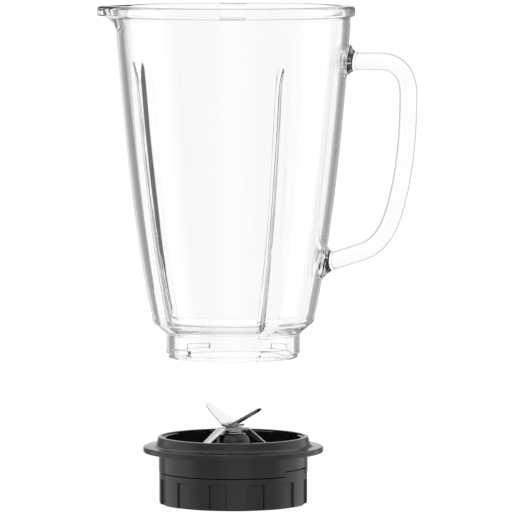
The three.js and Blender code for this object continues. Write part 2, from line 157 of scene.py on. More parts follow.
def turned(section: Array, columns: Array, shape: Shape | None = None) -> tuple[Array, Array]:
    """Carries a closed section round the axis.

    Args:
        section: (radius, height) rows in millimetres.
        columns: Azimuths in radians.
        shape: Changes radius and height at each azimuth, or None for a plain turning.

    Returns:
        Vertices in millimetres about the axis, and four-sided faces that point outwards.
    """
    rows, count = len(section), len(columns)
    azimuth = np.broadcast_to(columns, (rows, count))
    r = np.broadcast_to(section[:, :1], (rows, count)).astype(float)
    z = np.broadcast_to(section[:, 1:], (rows, count)).astype(float)
    if shape:
        r, z = shape(azimuth, r, z)
    vertices = np.stack([r * np.cos(azimuth), r * np.sin(azimuth), z], axis=-1).reshape(-1, 3)
    row, column = np.meshgrid(np.arange(rows), np.arange(count), indexing="ij")
    after, beside = (row + 1) % rows, (column + 1) % count
    faces = np.stack([row * count + column, row * count + beside, after * count + beside, after * count
        + column], -1)
    return vertices, outward(vertices, faces.reshape(-1, 4))


def spun_solid(section: Array, count: int) -> tuple[Array, list[list[int]]]:
    """Turns an open section that starts and ends on the axis into a closed solid.

    Args:
        section: (radius, height) rows whose first and last radius is 0, in millimetres.
        count: How many columns go round.

    Returns:
        Vertices in millimetres about the axis, and outward faces with a fan at each pole.
    """
    angles = np.arange(count) * TAU / count
    rings = [np.stack([r * np.cos(angles), r * np.sin(angles), np.full(count, z)], -1) for r,
        z in section[1:-1]]
    vertices = np.vstack([*rings, [[0, 0, section[0][1]], [0, 0, section[-1][1]]]])
    first, last, top = len(vertices) - 2, len(vertices) - 1, (len(rings) - 1) * count
    faces = []
    for i in range(count):
        j = (i + 1) % count
        faces += [[first, j, i], [last, top + i, top + j]]
        faces += [[k * count + i, k * count + j, (k + 1) * count + j, (k + 1) * count + i]
            for k in range(len(rings) - 1)]
    return vertices, outward(vertices, faces)


def outward(vertices: Array, faces: Array | list) -> Array | list:
    """Turns every face of a closed mesh round if the mesh is inside out."""
    volume = 0.0
    sizes = {faces.shape[1]} if isinstance(faces, np.ndarray) else {3, 4}
    for size in sizes:
        group = np.array([f for f in faces if len(f) == size]) if isinstance(faces, list) else faces
        for k in range(1, size - 1):
            if len(group):
                a, b, c = (vertices[group[:, i]] for i in (0, k, k + 1))
                volume += float(np.einsum("ij,ij->", a, np.cross(b, c)))
    if volume >= 0:
        return faces
    return faces[:, ::-1] if isinstance(faces, np.ndarray) else [f[::-1] for f in faces]


def piece(name: str, vertices: Array, faces: Array | list, sharp_angle: float = 40.0) -> bpy.types.Object:
    """Makes an object from vertices in millimetres about the jug's axis.

    Args:
        name: The object's name.
        vertices: Rows of x, y and z.
        faces: Rows of vertex numbers.
        sharp_angle: Edges that turn more than this many degrees stay crisp.

    Returns:
        The object, at the origin, with its place in its mesh.
    """
    mesh = bpy.data.meshes.new(name)
    placed = np.asarray(vertices, float) * MM + np.array([AXIS_X, 0, 0])
    mesh.from_pydata(placed.tolist(), [], [list(map(int, f)) for f in faces])
    made = bpy.data.objects.new(name, mesh)
    bpy.context.scene.collection.objects.link(made)
    crisp(made, sharp_angle)
    return made


def crisp(made: bpy.types.Object, sharp_angle: float) -> None:
    """Shades an object smooth, apart from its edges that turn more than an angle in degrees."""
    made.data.polygons.foreach_set("use_smooth", [True] * len(made.data.polygons))
    made.data.set_sharp_from_angle(angle=math.radians(sharp_angle))
    made.data.update()


def combined(target: bpy.types.Object, tool: bpy.types.Object, operation: str, sharp_angle: float) -> None:
    """Joins, cuts or keeps the overlap of two closed pieces, leaving the result in the first."""
    change = target.modifiers.new("combine", "BOOLEAN")
    change.operation = operation
    change.solver = "EXACT"
    change.object = tool
    applied(target)
    bpy.data.objects.remove(tool)
    crisp(target, sharp_angle)


def applied(made: bpy.types.Object) -> None:
    """Replaces an object's mesh by what its modifiers make of it, and removes them."""
    evaluated = made.evaluated_get(bpy.context.evaluated_depsgraph_get())
    mesh = bpy.data.meshes.new_from_object(evaluated)
    mesh.name = made.name
    made.modifiers.clear()
    made.data = mesh


# ---- Geometry nodes ----


def ring_of_copies() -> bpy.types.NodeTree:
    """The node tree that repeats a piece round the jug's axis as one mesh with one material."""
    tree = bpy.data.node_groups.new("ring_of_copies", "GeometryNodeTree")
    face = tree.interface
    face.new_socket("Geometry", in_out="INPUT", socket_type="NodeSocketGeometry")
    for label, kind, value in (("Count", "NodeSocketInt", 4), ("First Angle", "NodeSocketFloat", 0.0),
                               ("Axis X", "NodeSocketFloat", 0.0), ("Material", "NodeSocketMaterial", None)):
        socket = face.new_socket(label, in_out="INPUT", socket_type=kind)
        if value is not None:
            socket.default_value = value
    face.new_socket("Geometry", in_out="OUTPUT", socket_type="NodeSocketGeometry")
    node, link = tree.nodes.new, tree.links.new
    given, out = node("NodeGroupInput"), node("NodeGroupOutput")
    to_axis, centred = node("ShaderNodeCombineXYZ"), node("GeometryNodeTransform")
    points, minus = node("GeometryNodePoints"), node("ShaderNodeMath")
    index, pitch = node("GeometryNodeInputIndex"), node("ShaderNodeMath")
    angle, turn = node("ShaderNodeMath"), node("ShaderNodeCombineXYZ")
    euler, copies = node("FunctionNodeEulerToRotation"), node("GeometryNodeInstanceOnPoints")
    real, dress = node("GeometryNodeRealizeInstances"), node("GeometryNodeSetMaterial")
    place = node("ShaderNodeCombineXYZ")
    minus.operation, pitch.operation, angle.operation = "MULTIPLY", "DIVIDE", "MULTIPLY_ADD"
    minus.inputs[1].default_value = -1.0
    pitch.inputs[0].default_value = TAU
    link(given.outputs["Axis X"], minus.inputs[0])
    link(minus.outputs[0], to_axis.inputs["X"])
    link(given.outputs["Geometry"], centred.inputs["Geometry"])
    link(to_axis.outputs[0], centred.inputs["Translation"])
    link(given.outputs["Count"], points.inputs["Count"])
    link(given.outputs["Axis X"], place.inputs["X"])
    link(place.outputs[0], points.inputs["Position"])
    link(given.outputs["Count"], pitch.inputs[1])
    link(index.outputs[0], angle.inputs[0])
    link(pitch.outputs[0], angle.inputs[1])
    link(given.outputs["First Angle"], angle.inputs[2])
    link(angle.outputs[0], turn.inputs["Z"])
    link(turn.outputs[0], euler.inputs[0])
    link(points.outputs[0], copies.inputs["Points"])
    link(centred.outputs[0], copies.inputs["Instance"])
    link(euler.outputs[0], copies.inputs["Rotation"])
    link(copies.outputs[0], real.inputs[0])
    link(real.outputs[0], dress.inputs["Geometry"])
    link(given.outputs["Material"], dress.inputs["Material"])
    link(dress.outputs[0], out.inputs["Geometry"])
    return tree


def repeat_round(made: bpy.types.Object, tree: bpy.types.NodeTree, count: int, first: float,
                 material: bpy.types.Material, sharp_angle: float = 40.0) -> bpy.types.Object:
    """Repeats a piece round the axis and keeps the result as a plain mesh.

    Args:
        made: The piece at azimuth 0.
        tree: The tree from ring_of_copies.
        count: How many copies there are.
        first: The first copy's azimuth in degrees.
        material: What the copies are made of.
        sharp_angle: Edges that turn more than this many degrees stay crisp.

    Returns:
        The same object with its new mesh.
    """
    modifier = made.modifiers.new("repeat", "NODES")
    modifier.node_group = tree
    values = {"Count": count, "First Angle": math.radians(first), "Axis X": AXIS_X, "Material": material}
    for item in tree.interface.items_tree:
        if item.in_out == "INPUT" and item.name in values:
            modifier[item.identifier] = values[item.name]
    applied(made)
    crisp(made, sharp_angle)
    return made


# ---- Shader groups ----


class Desk:
    """Places and joins the nodes of one tree."""

    def __init__(self, tree: bpy.types.NodeTree) -> None:
        """Keeps the tree that nodes are placed in."""
        self.tree = tree

    def node(self, kind: str, values: dict | None = None, **settings: object) -> bpy.types.Node:
        """Adds a node.

        Args:
            kind: Blender's name of the node type.
            values: Input name or number to a value, or to an output socket to link.
            settings: Properties of the node.

        Returns:
            The node.
        """
        made = self.tree.nodes.new(kind)
        for key, value in settings.items():
            setattr(made, key, value)
        for key, value in (values or {}).items():
            if isinstance(value, bpy.types.NodeSocket):
                self.tree.links.new(value, made.inputs[key])
            else:
                made.inputs[key].default_value = value
        return made

    def math(self, operation: str, *values: object) -> bpy.types.NodeSocket:
        """Adds a Math node and returns its output."""
        return self.node("ShaderNodeMath", dict(enumerate(values)), operation=operation).outputs[0]

    def ramp(self, source: bpy.types.NodeSocket, low: float, high: float, start: float = 0.0,
             end: float = 1.0) -> bpy.types.NodeSocket:
        """Maps a value from low..high to start..end, without leaving those limits."""
        names = {"Value": source, "From Min": low, "From Max": high, "To Min": start, "To Max": end}
        return self.node("ShaderNodeMapRange", names, interpolation_type="SMOOTHSTEP").outputs[0]

    def mix_values(self, share: bpy.types.NodeSocket, first: object, second: object) -> bpy.types.NodeSocket:
        """Mixes two numbers, each a value or a socket, and returns the number."""
        return self.node("ShaderNodeMix", {0: share, 2: first, 3: second}, data_type="FLOAT").outputs[0]

    def mix(self, share: bpy.types.NodeSocket, first: Sequence[float],
            second: Sequence[float]) -> bpy.types.NodeSocket:
        """Mixes two colours and returns the colour."""
        made = self.tree.nodes.new("ShaderNodeMix")
        made.data_type = "RGBA"
        self.tree.links.new(share, made.inputs["Factor"])
        made.inputs["A"].default_value, made.inputs["B"].default_value = (*first, 1), (*second, 1)
        return [o for o in made.outputs if o.type == "RGBA"][0]


def shader_group(name: str, inputs: dict[str, float], outputs: dict[str, str],
                 fill: Callable[[Desk, bpy.types.Node, bpy.types.Node], None]) -> bpy.types.NodeTree:
    """Builds a shader node group once.

    Args:
        name: The group's name.
        inputs: Names of its number inputs and their usual values.
        outputs: Names of its outputs and their socket types.
        fill: Places the nodes, given a desk, the group's input node and its output node.

    Returns:
        The group.
    """
    if name in bpy.data.node_groups:
        return bpy.data.node_groups[name]
    tree = bpy.data.node_groups.new(name, "ShaderNodeTree")
    for label, value in inputs.items():
        tree.interface.new_socket(label, in_out="INPUT", socket_type="NodeSocketFloat").default_value = value
    for label, kind in outputs.items():
        tree.interface.new_socket(label, in_out="OUTPUT", socket_type=kind)
    desk = Desk(tree)
    fill(desk, desk.node("NodeGroupInput"), desk.node("NodeGroupOutput"))
    return tree


def moulded_grain() -> bpy.types.NodeTree:
    """Fine spark-eroded grain of a moulding, with slow patches of shine and rubbed spots."""

    def fill(desk: Desk, given: bpy.types.Node, out: bpy.types.Node) -> None:
        """Places the grain's nodes."""
        place = desk.node("ShaderNodeTexCoord").outputs["Object"]
        fine = desk.node("ShaderNodeTexNoise",
            {"Vector": place, "Scale": given.outputs["Grain Scale"], "Detail": 3.0})
        slow = desk.node("ShaderNodeTexNoise",
            {"Vector": place, "Scale": given.outputs["Patch Scale"], "Detail": 4.0})
        bump = desk.node("ShaderNodeBump", {"Height": fine.outputs[0],
            "Strength": given.outputs["Grain Depth"],
                                            "Distance": 0.0002})
        desk.tree.links.new(bump.outputs[0], out.inputs["Normal"])
        desk.tree.links.new(desk.ramp(slow.outputs[0], 0.35, 0.7), out.inputs["Patch"])
        desk.tree.links.new(desk.ramp(fine.outputs[0], 0.6, 0.75), out.inputs["Speck"])

    return shader_group("moulded_grain", {"Grain Scale": 1800.0, "Grain Depth": 0.2, "Patch Scale": 30.0},
                        {"Normal": "NodeSocketVector", "Patch": "NodeSocketFloat",
                        "Speck": "NodeSocketFloat"}, fill)


def tool_marks() -> bpy.types.NodeTree:
    """Lines that a tool leaves: round the jug's axis, or straight along a polished sheet."""

    def fill(desk: Desk, given: bpy.types.Node, out: bpy.types.Node) -> None:
        """Places the nodes of the lines."""
        place = desk.node("ShaderNodeTexCoord").outputs["Object"]
        moved = desk.node("ShaderNodeVectorMath", {0: place, 1: (-AXIS_X, 0.0, 0.0)},
            operation="ADD").outputs[0]
        parts = desk.node("ShaderNodeSeparateXYZ", {0: moved}).outputs
        radius = desk.math("SQRT", desk.math("ADD", desk.math("POWER", parts[0], 2.0),
            desk.math("POWER", parts[1], 2.0)))
        turned_at = desk.node("ShaderNodeCombineXYZ", {0: radius, 1: parts[2]}).outputs[0]
        straight = desk.node("ShaderNodeMapping",
            {"Vector": moved, "Rotation": (0, 0, 0.8), "Scale": (0.05, 1.0, 0.4)})
        chosen = desk.node("ShaderNodeMix", data_type="VECTOR")
        desk.tree.links.new(given.outputs["Turned"], chosen.inputs[0])
        desk.tree.links.new(straight.outputs[0], chosen.inputs[4])
        desk.tree.links.new(turned_at, chosen.inputs[5])
        lines = desk.node("ShaderNodeTexNoise",
            {"Vector": chosen.outputs[1], "Scale": given.outputs["Line Scale"],
                                                 "Detail": 5.0, "Roughness": 0.7})
        bump = desk.node("ShaderNodeBump", {"Height": lines.outputs[0],
            "Strength": given.outputs["Line Depth"],
                                            "Distance": 0.00005})
        desk.tree.links.new(bump.outputs[0], out.inputs["Normal"])
        desk.tree.links.new(desk.ramp(lines.outputs[0], 0.3, 0.7), out.inputs["Line"])

    return shader_group("tool_marks", {"Turned": 1.0, "Line Scale": 900.0, "Line Depth": 0.15},
                        {"Normal": "NodeSocketVector", "Line": "NodeSocketFloat"}, fill)


def pressed_ripple() -> bpy.types.NodeTree:
    """The slow ripple that a press leaves in thick glass, and faint wiped streaks."""

    def fill(desk: Desk, given: bpy.types.Node, out: bpy.types.Node) -> None:
        """Places the nodes of the ripple."""
        place = desk.node("ShaderNodeTexCoord").outputs["Object"]
        slow = desk.node("ShaderNodeTexNoise",
            {"Vector": place, "Scale": given.outputs["Ripple Scale"], "Detail": 1.0})
        bump = desk.node("ShaderNodeBump", {"Height": slow.outputs[0],
            "Strength": given.outputs["Ripple Depth"],
                                            "Distance": 0.0006})
        wiped = desk.node("ShaderNodeMapping", {"Vector": place, "Scale": (1.0, 1.0, 0.15)})
        streak = desk.node("ShaderNodeTexNoise", {"Vector": wiped.outputs[0], "Scale": 60.0, "Detail": 4.0})
        desk.tree.links.new(bump.outputs[0], out.inputs["Normal"])
        desk.tree.links.new(desk.ramp(streak.outputs[0], 0.5, 0.8), out.inputs["Streak"])

    return shader_group("pressed_ripple", {"Ripple Scale": 26.0, "Ripple Depth": 0.1},
                        {"Normal": "NodeSocketVector", "Streak": "NodeSocketFloat"}, fill)


# ---- Finishes ----


class Marks(Enum):
    """How the tool ran over a metal piece."""

    TURNED = 1.0
    STRAIGHT = 0.0


def fresh_material(name: str) -> tuple[bpy.types.Material, Desk, bpy.types.Node]:
    """Makes a node material and returns it, its desk and its Principled BSDF."""
    material = bpy.data.materials.new(name)
    material.use_nodes = True
    return material, Desk(material.node_tree), material.node_tree.nodes["Principled BSDF"]


@dataclass(frozen=True)
class MouldedPlastic:
    """A satin or matte moulded plastic.

    The colours are linear. Roughness runs from shine, where the tool was polished, to shine plus spread.
    """

    name: str
    color: tuple[float, float, float]
    rubbed: tuple[float, float, float]
    shine: float
    spread: float
    grain_scale: float = 1800.0
    grain_depth: float = 0.2

    def material(self) -> bpy.types.Material:
        """Builds the plastic's material."""
        material, desk, shader = fresh_material(self.name)
        grain = desk.node("ShaderNodeGroup", node_tree=moulded_grain())
        grain.inputs["Grain Scale"].default_value = self.grain_scale
        grain.inputs["Grain Depth"].default_value = self.grain_depth
        link = desk.tree.links.new
        link(desk.mix(desk.math("MULTIPLY", grain.outputs["Speck"], 0.5), self.color, self.rubbed),
            shader.inputs["Base Color"])
        link(desk.ramp(grain.outputs["Patch"], 0, 1, self.shine, self.shine + self.spread),
            shader.inputs["Roughness"])
        link(grain.outputs["Normal"], shader.inputs["Normal"])
        shader.inputs["IOR"].default_value = 1.5
        return material


@dataclass(frozen=True)
class WorkedMetal:
    """A metal with the lines of the tool that finished it."""

    name: str
    color: tuple[float, float, float]
    dark: tuple[float, float, float]
    shine: float
    spread: float
    marks: Marks = Marks.TURNED
    line_scale: float = 900.0
    line_depth: float = 0.15

    def material(self) -> bpy.types.Material:
        """Builds the metal's material."""
        material, desk, shader = fresh_material(self.name)
        lines = desk.node("ShaderNodeGroup", node_tree=tool_marks())
        lines.inputs["Turned"].default_value = self.marks.value
        lines.inputs["Line Scale"].default_value = self.line_scale
        lines.inputs["Line Depth"].default_value = self.line_depth
        link = desk.tree.links.new
        link(desk.mix(lines.outputs["Line"], self.dark, self.color), shader.inputs["Base Color"])
        link(desk.ramp(lines.outputs["Line"], 0, 1, self.shine, self.shine + self.spread),
            shader.inputs["Roughness"])
        link(lines.outputs["Normal"], shader.inputs["Normal"])
        shader.inputs["Metallic"].default_value = 1.0
        return material


@dataclass(frozen=True)
class ClearGlass:
    """Thick pressed glass, clear, with a slow ripple."""

    name: str
    tint: tuple[float, float, float]
    wiped: tuple[float, float, float]
    haze: float
    ripple_depth: float

    def material(self) -> bpy.types.Material:
        """Builds the glass's material."""
        material, desk, shader = fresh_material(self.name)
        ripple = desk.node("ShaderNodeGroup", node_tree=pressed_ripple())
        ripple.inputs["Ripple Depth"].default_value = self.ripple_depth
        link = desk.tree.links.new
        link(desk.mix(ripple.outputs["Streak"], self.tint, self.wiped), shader.inputs["Base Color"])
        link(desk.ramp(ripple.outputs["Streak"], 0, 1, 0.0, self.haze), shader.inputs["Roughness"])
        link(ripple.outputs["Normal"], shader.inputs["Normal"])
        shader.inputs["Transmission Weight"].default_value = 1.0
        shader.inputs["IOR"].default_value = 1.5
        return material


# ---- The jug ----


@dataclass
class GlassJug:
    """The glass jug: wall, shoulder, foot with lugs, ribs, spout and fused handle. Sizes are in millimetres.

    Heights are above the foot, which stands where the frame's jug body does.
    """

    foot_z: float
    height: float
    ring_radius: float = 41.9
    throat_radius: float = 36.9
    shoulder: tuple[float, float] = (51.0, 25.0)
    belly_control: tuple[float, float] = (64.6, 86.0)
    mouth: tuple[float, float] = (73.3, 205.0)
    rim_radius: float = 76.4
    rim_base: float = 213.4
    wall_at_mouth: float = 4.7
    wall_at_foot: float = 6.2
    spout_reach: float = 84.9
    spout_rise: float = 12.5
    spout_round: float = 0.05
    ribs: tuple[float, ...] = (208.2, 298.2, 61.8, 151.8)
    rib_top: float = 184.0
    rib_low: float = 19.0
    rib_half_width: tuple[float, float] = (3.3, 5.2)
    rib_depth: tuple[float, float] = (2.4, 3.0)
    lug_azimuth: float = 37.0
    lug_half_angle: float = 14.0
    lug_proud: float = 2.1
    lug_span: tuple[float, float] = (2.9, 6.6)
    notch_half_width: float = 7.3
    notch_floor: float = 71.8
    slot_rise: float = 1.6
    mark_heights: tuple[float, ...] = (112.1, 141.5)
    mark_span: tuple[float, float] = (6.9, 13.4)
    mark_half_height: float = 0.55
    mark_proud: float = 0.6
    handle_reach: float = 109.6
    handle_thick: float = 11.3
    handle_wide: float = 16.0
    handle_top: float = 185.5
    handle_flare: float = 7.5

    def belly(self, steps: int, inset: bool) -> Array:
        """Points of the belly's curve from shoulder to mouth, on the outer or the inner face."""
        t = np.linspace(0, 1, steps + 1)
        points = [(1 - t) ** 2 * a + 2 * t * (1 - t) * b + t * t * c
                  for a, b, c in zip(self.shoulder, self.belly_control, self.mouth)]
        wall = self.wall_at_foot + (self.wall_at_mouth - self.wall_at_foot) * t
        return np.stack([points[0] - (wall if inset else 0), points[1]], -1)

    def outer_radius(self, height: float) -> float:
        """The belly's outer radius at a height."""
        points = self.belly(60, False)
        return float(np.interp(height, points[:, 1], points[:, 0]))

    def section(self) -> tuple[Array, Array]:
        """The wall's closed section and, for each row, 1 on the inner face and 0 on the outer."""
        top = self.height
        low = rounded([
            Corner(37.7, 9), Corner(37.9, 0, 0.8), Corner(40.6, 0, 1.1), Corner(40.65, 2.9, 0.5),
            Corner(self.ring_radius, 3.0, 0.8), Corner(self.ring_radius, 15.0, 3.0), Corner(47.3, 19.6, 5.0),
            Corner(50.6, 22.3, 3.2), Corner(51.4, 27.5, 4.0), Corner(53.0, 35.0)], 10)[1:-1]
        outer = np.vstack([low[low[:, 1] < 29.5], self.belly(46, False)[2:]])
        rim = rounded([
            Corner(73.3, 205.2), Corner(73.4, self.rim_base, 1.6),
            Corner(self.rim_radius, self.rim_base + 0.3, 1.5),
            Corner(self.rim_radius, top, 2.3), Corner(69.2, top, 1.8), Corner(68.7, 208)], 10)[1:-1]
        inner_low = rounded([
            Corner(46.6, 34), Corner(44.7, 23.6, 3.0), Corner(38.6, 19.6, 2.0),
            Corner(self.throat_radius, 17.6, 1.8),
            Corner(self.throat_radius, 0.9, 0.6), Corner(38.2, 0)], 10)[1:-1]
        inner_belly = self.belly(46, True)[:2:-1]
        rows = closer(np.vstack([outer, rim, inner_belly, inner_low]), 4.2)
        rows = self.with_mark_rows(rows)
        is_inner = self.inner_rows(rows)
        return rows, is_inner

    def with_mark_rows(self, rows: Array) -> Array:
        """Adds rows to the outer face at the edges of the graduation marks, the lugs and the rim's slots."""
        half = self.mark_half_height
        wanted = [h + s for h in self.mark_heights
            for s in (-half - 0.25, -half * 0.6, 0, half * 0.6, half + 0.25)]
        wanted += list(np.arange(self.lug_span[0] - 0.3, self.lug_span[1] + 0.7, 0.22))
        made: list[Array] = []
        for here, after in zip(rows, np.roll(rows, -1, axis=0)):
            made.append(here)
            if after[1] > here[1] and min(here[0], after[0]) > 40:
                inside = sorted(w for w in wanted if here[1] + 0.04 < w < after[1] - 0.04)
                made += [here + (after - here) * (w - here[1]) / (after[1] - here[1]) for w in inside]
            if after[1] < here[1] and here[1] > self.rim_base > after[1]:
                for w in (self.rim_base + self.slot_rise + 0.15, self.rim_base + self.slot_rise - 0.15):
                    if after[1] < w < here[1]:
                        made.append(here + (after - here) * (w - here[1]) / (after[1] - here[1]))
        return np.array(made)

    def inner_rows(self, rows: Array) -> Array:
        """1 for the rows of the inner face, which come after the top of the rim, and 0 for the others."""
        crest = int(np.argmax(rows[:, 1] + 1e-3 * rows[:, 0]))
        flag = np.zeros(len(rows))
        flag[crest + 1:] = 1
        return flag

    def spout_share(self, azimuth: Array) -> Array:
        """How far the spout has opened at each azimuth: 0 off the spout, 1 at its tip."""
        half = math.acos(self.rim_radius / self.spout_reach)
        off = np.hypot(away(azimuth, 180.0), self.spout_round)
        beyond = 1 / np.cos(half - np.minimum(off, half)) - 1
        tip = 1 / math.cos(half - self.spout_round) - 1
        return beyond / tip

    def rib(self, azimuth: Array, height: Array) -> Array:
        """How far the ribs stand in from the inner face."""
        off = np.min([np.abs(away(azimuth, rib)) for rib in self.ribs], axis=0)
        share = np.clip((self.rib_top - height) / (self.rib_top - self.rib_low), 0, 1)
        half = self.rib_half_width[0] + (self.rib_half_width[1] - self.rib_half_width[0]) * share
        arch = np.sqrt(np.clip(1 - (1 - np.clip((self.rib_top - height) / 16.0, 0, 1)) ** 2, 0, 1))
        radius = np.interp(height, [25, 100, 205], [45, 59, 68.6])
        across = np.clip(1 - (off * radius / np.maximum(half * arch, 0.05)) ** 2, 0, 1)
        depth = self.rib_depth[0] + (self.rib_depth[1] - self.rib_depth[0]) * smooth(share * 1.6)
        return depth * arch * across ** 0.95 * smooth((height - self.rib_low) / 4.0)

    def lug(self, azimuth: Array, height: Array) -> Array:
        """How far the bayonet lugs stand out of the foot ring."""
        off = np.abs((azimuth - math.radians(self.lug_azimuth) + TAU / 8) % (TAU / 4) - TAU / 8)
        along = smooth((math.radians(self.lug_half_angle + 0.5) - off) / math.radians(1.2))
        low, high = self.lug_span
        return self.lug_proud * along * smooth((height - low + 0.35) / 0.7) * smooth((high + 0.35 - height)
            / 0.7)

    def mark(self, azimuth: Array, height: Array) -> Array:
        """How far the graduation marks stand out of the front."""
        across = np.abs(away(azimuth, FRONT)) * np.interp(height, [60, 200], [58.0, 72.5])
        first, last = self.mark_span
        span = smooth((across - first + 0.3) / 0.6) * smooth((last + 0.3 - across) / 0.6)
        bands = sum(smooth((self.mark_half_height + 0.25 - np.abs(height - h)) / 0.4)
            for h in self.mark_heights)
        return self.mark_proud * span * bands

    def wall(self) -> tuple[Array, Array]:
        """Vertices and faces of the wall, without its handle."""
        section, is_inner = self.section()
        inner = is_inner[:, None]
        spread = [a * s for a in (1, 2, 3) for s in (-1, 1)]
        ribs = [rib + 1.1 * s for rib in self.ribs for s in (*spread, -4, 4, -5, 5)]
        lugs = [self.lug_azimuth + k * 90 + s * (self.lug_half_angle + 0.2) for k in range(4)
            for s in (-1, 1)]
        slots = [side + s * math.degrees(self.notch_half_width / self.notch_floor) for side in (-90, 90)
            for s in (-1, 1)]
        marks = [FRONT + s * math.degrees(v / 66.0) for s in (-1, 1) for v in self.mark_span]
        columns = azimuths(180, [*ribs, *lugs, *slots, *marks, 178.4, 181.6], 0.28)

        def shape(azimuth: Array, r: Array, z: Array) -> tuple[Array, Array]:
            """Opens the spout and adds ribs, lugs, slots and marks."""
            share = self.spout_share(azimuth)
            rise = np.clip((z - (self.height - self.spout_rise - 3.5)) / self.spout_rise, 0, 1) ** 2
            out = np.where(z > self.rim_base - 0.5, np.maximum(rise, 0), rise)
            beyond = self.spout_reach - np.where(z > self.rim_base + 0.6, self.rim_radius, self.mouth[0]
                + 0.1)
            outer = r + share * np.where(z > self.rim_base + 0.6, beyond, beyond * out)
            outer = outer + self.lug(azimuth, z) * (z < 9) + self.mark(azimuth, z) * (z > 60)
            lip = np.clip((z - (self.height - self.spout_rise - 0.5)) / self.spout_rise, 0, 1) ** 2
            within = r + share * 9.3 * lip - self.rib(azimuth, z) * (r < 70)
            slot = (np.abs(r * np.cos(azimuth)) < self.notch_half_width + 0.12) & (z > self.rim_base
                + self.slot_rise)
            within = np.where(slot, np.maximum(within, self.notch_floor), within)
            return np.where(inner > 0, within, outer), z

        return turned(section, columns, shape)

    def handle_line(self) -> Array:
        """The handle's centreline as points of X and Z, from the upper end to the lower."""
        def curve(*ends: tuple[float, float], steps: int) -> Array:
            """Points of a Bezier curve with two, or four, control points."""
            t = np.linspace(0, 1, steps, endpoint=False)[:, None]
            p = np.array(ends, float)
            if len(p) == 2:
                return p[0] + (p[1] - p[0]) * t
            return (1 - t) ** 3 * p[0] + 3 * t * (1 - t) ** 2 * p[1] + 3 * t * t * (1
                - t) * p[2] + t ** 3 * p[3]

        top, reach = self.handle_top, self.handle_reach
        return np.vstack([
            curve((68.9, top), (92, top), steps=26),
            curve((92, top), (102, top), (reach, top - 6.5), (reach, 165), steps=26),
            curve((reach, 165), (reach, 130), (105.5, 108), (101, 92.5), steps=34),
            curve((101, 92.5), (97.5, 80.5), (92, 70), (80.6, 66.3), steps=26),
            curve((80.6, 66.3), (54.6, 58.1), steps=34),
            [[54.6, 58.1]]])

    def handle(self) -> tuple[Array, list[list[int]]]:
        """Vertices and faces of the handle, whose ends spread and lie along the wall that they fuse with."""
        line = self.handle_line()
        along = np.gradient(line, axis=0)
        along /= np.linalg.norm(along, axis=1)[:, None]
        depth = line[:, 0] - np.array([self.outer_radius(z) for z in line[:, 1]])
        slope = 0.17
        upper = line[:, 1] > 120
        wall_normal = np.array([1.0, -slope]) / math.hypot(1, slope)
        near = smooth(1 - depth / 11.0)[:, None]
        facing = np.where(upper[:, None], wall_normal, -wall_normal)
        normal = along * (1 - near) + facing * near
        normal /= np.linalg.norm(normal, axis=1)[:, None]
        flare = self.handle_flare
        turn = np.clip(1 - depth / (0.95 * flare), 0, 0.94)
        extra = flare * (1 - np.sqrt(1 - turn ** 2))
        angles = np.arange(40) * TAU / 40
        rings = []
        for centre, n, more, close in zip(line, normal, extra, near[:, 0]):
            side = np.array([-n[1], n[0]])
            a, b = self.handle_thick / 2 + more, self.handle_wide / 2 + more * 0.8
            y = b * np.sin(angles)
            plane = centre[None, :] + np.cos(angles)[:, None] * a * side[None, :]
            sag = close * (y ** 2) / (2 * max(centre[0], 40.0))
            rings.append(np.stack([plane[:, 0] - sag, y, plane[:, 1]], -1))
        count = len(angles)
        vertices = np.vstack([*rings, [[line[0, 0], 0, line[0, 1]], [line[-1, 0], 0, line[-1, 1]]]])
        first, last, top = len(vertices) - 2, len(vertices) - 1, (len(rings) - 1) * count
        faces = []
        for i in range(count):
            j = (i + 1) % count
            faces += [[first, j, i], [last, top + i, top + j]]
            faces += [[k * count + i, k * count + j, (k + 1) * count + j, (k + 1) * count + i]
                      for k in range(len(rings) - 1)]
        return vertices, outward(vertices, faces)

    def build(self, glass: bpy.types.Material) -> None:
        """Makes the jug as one fused piece and puts it in its body's place."""
        lift = np.array([0, 0, self.foot_z])
        vertices, faces = self.wall()
        jug = piece("glass_jug", vertices + lift, faces, 60)
        bar_vertices, bar_faces = self.handle()
        bar = piece("glass_handle", bar_vertices + lift, bar_faces, 60)
        combined(jug, bar, "UNION", 60)
        finish_piece(jug, glass, "jug", "glass", "jug_body", "jug_handle")


def finish_piece(made: bpy.types.Object, material: bpy.types.Material | Sequence[bpy.types.Material],
        body: str,
                 slot: str, *nodes: str) -> None:
    """Dresses a piece, lets it ride on its body, and hides the nodes that it stands for.

    Args:
        made: The piece.
        material: Its material, or the materials that its faces' numbers choose from.
        body: The body that it moves with.
        slot: The record's material slot; not used.
        nodes: The nodes that it replaces.
    """
    chosen = [material] if isinstance(material, bpy.types.Material) else list(material)
    numbers = [face.material_index for face in made.data.polygons]
    made.data.materials.clear()
    for each in chosen:
        made.data.materials.append(each)
    made.data.polygons.foreach_set("material_index", [min(n, len(chosen) - 1) for n in numbers])
    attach(made, body)
    if nodes:
        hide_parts(*nodes)
    LOG.info("%s: %d faces on %s", made.name, len(made.data.polygons), body)


# ---- The knife unit ----


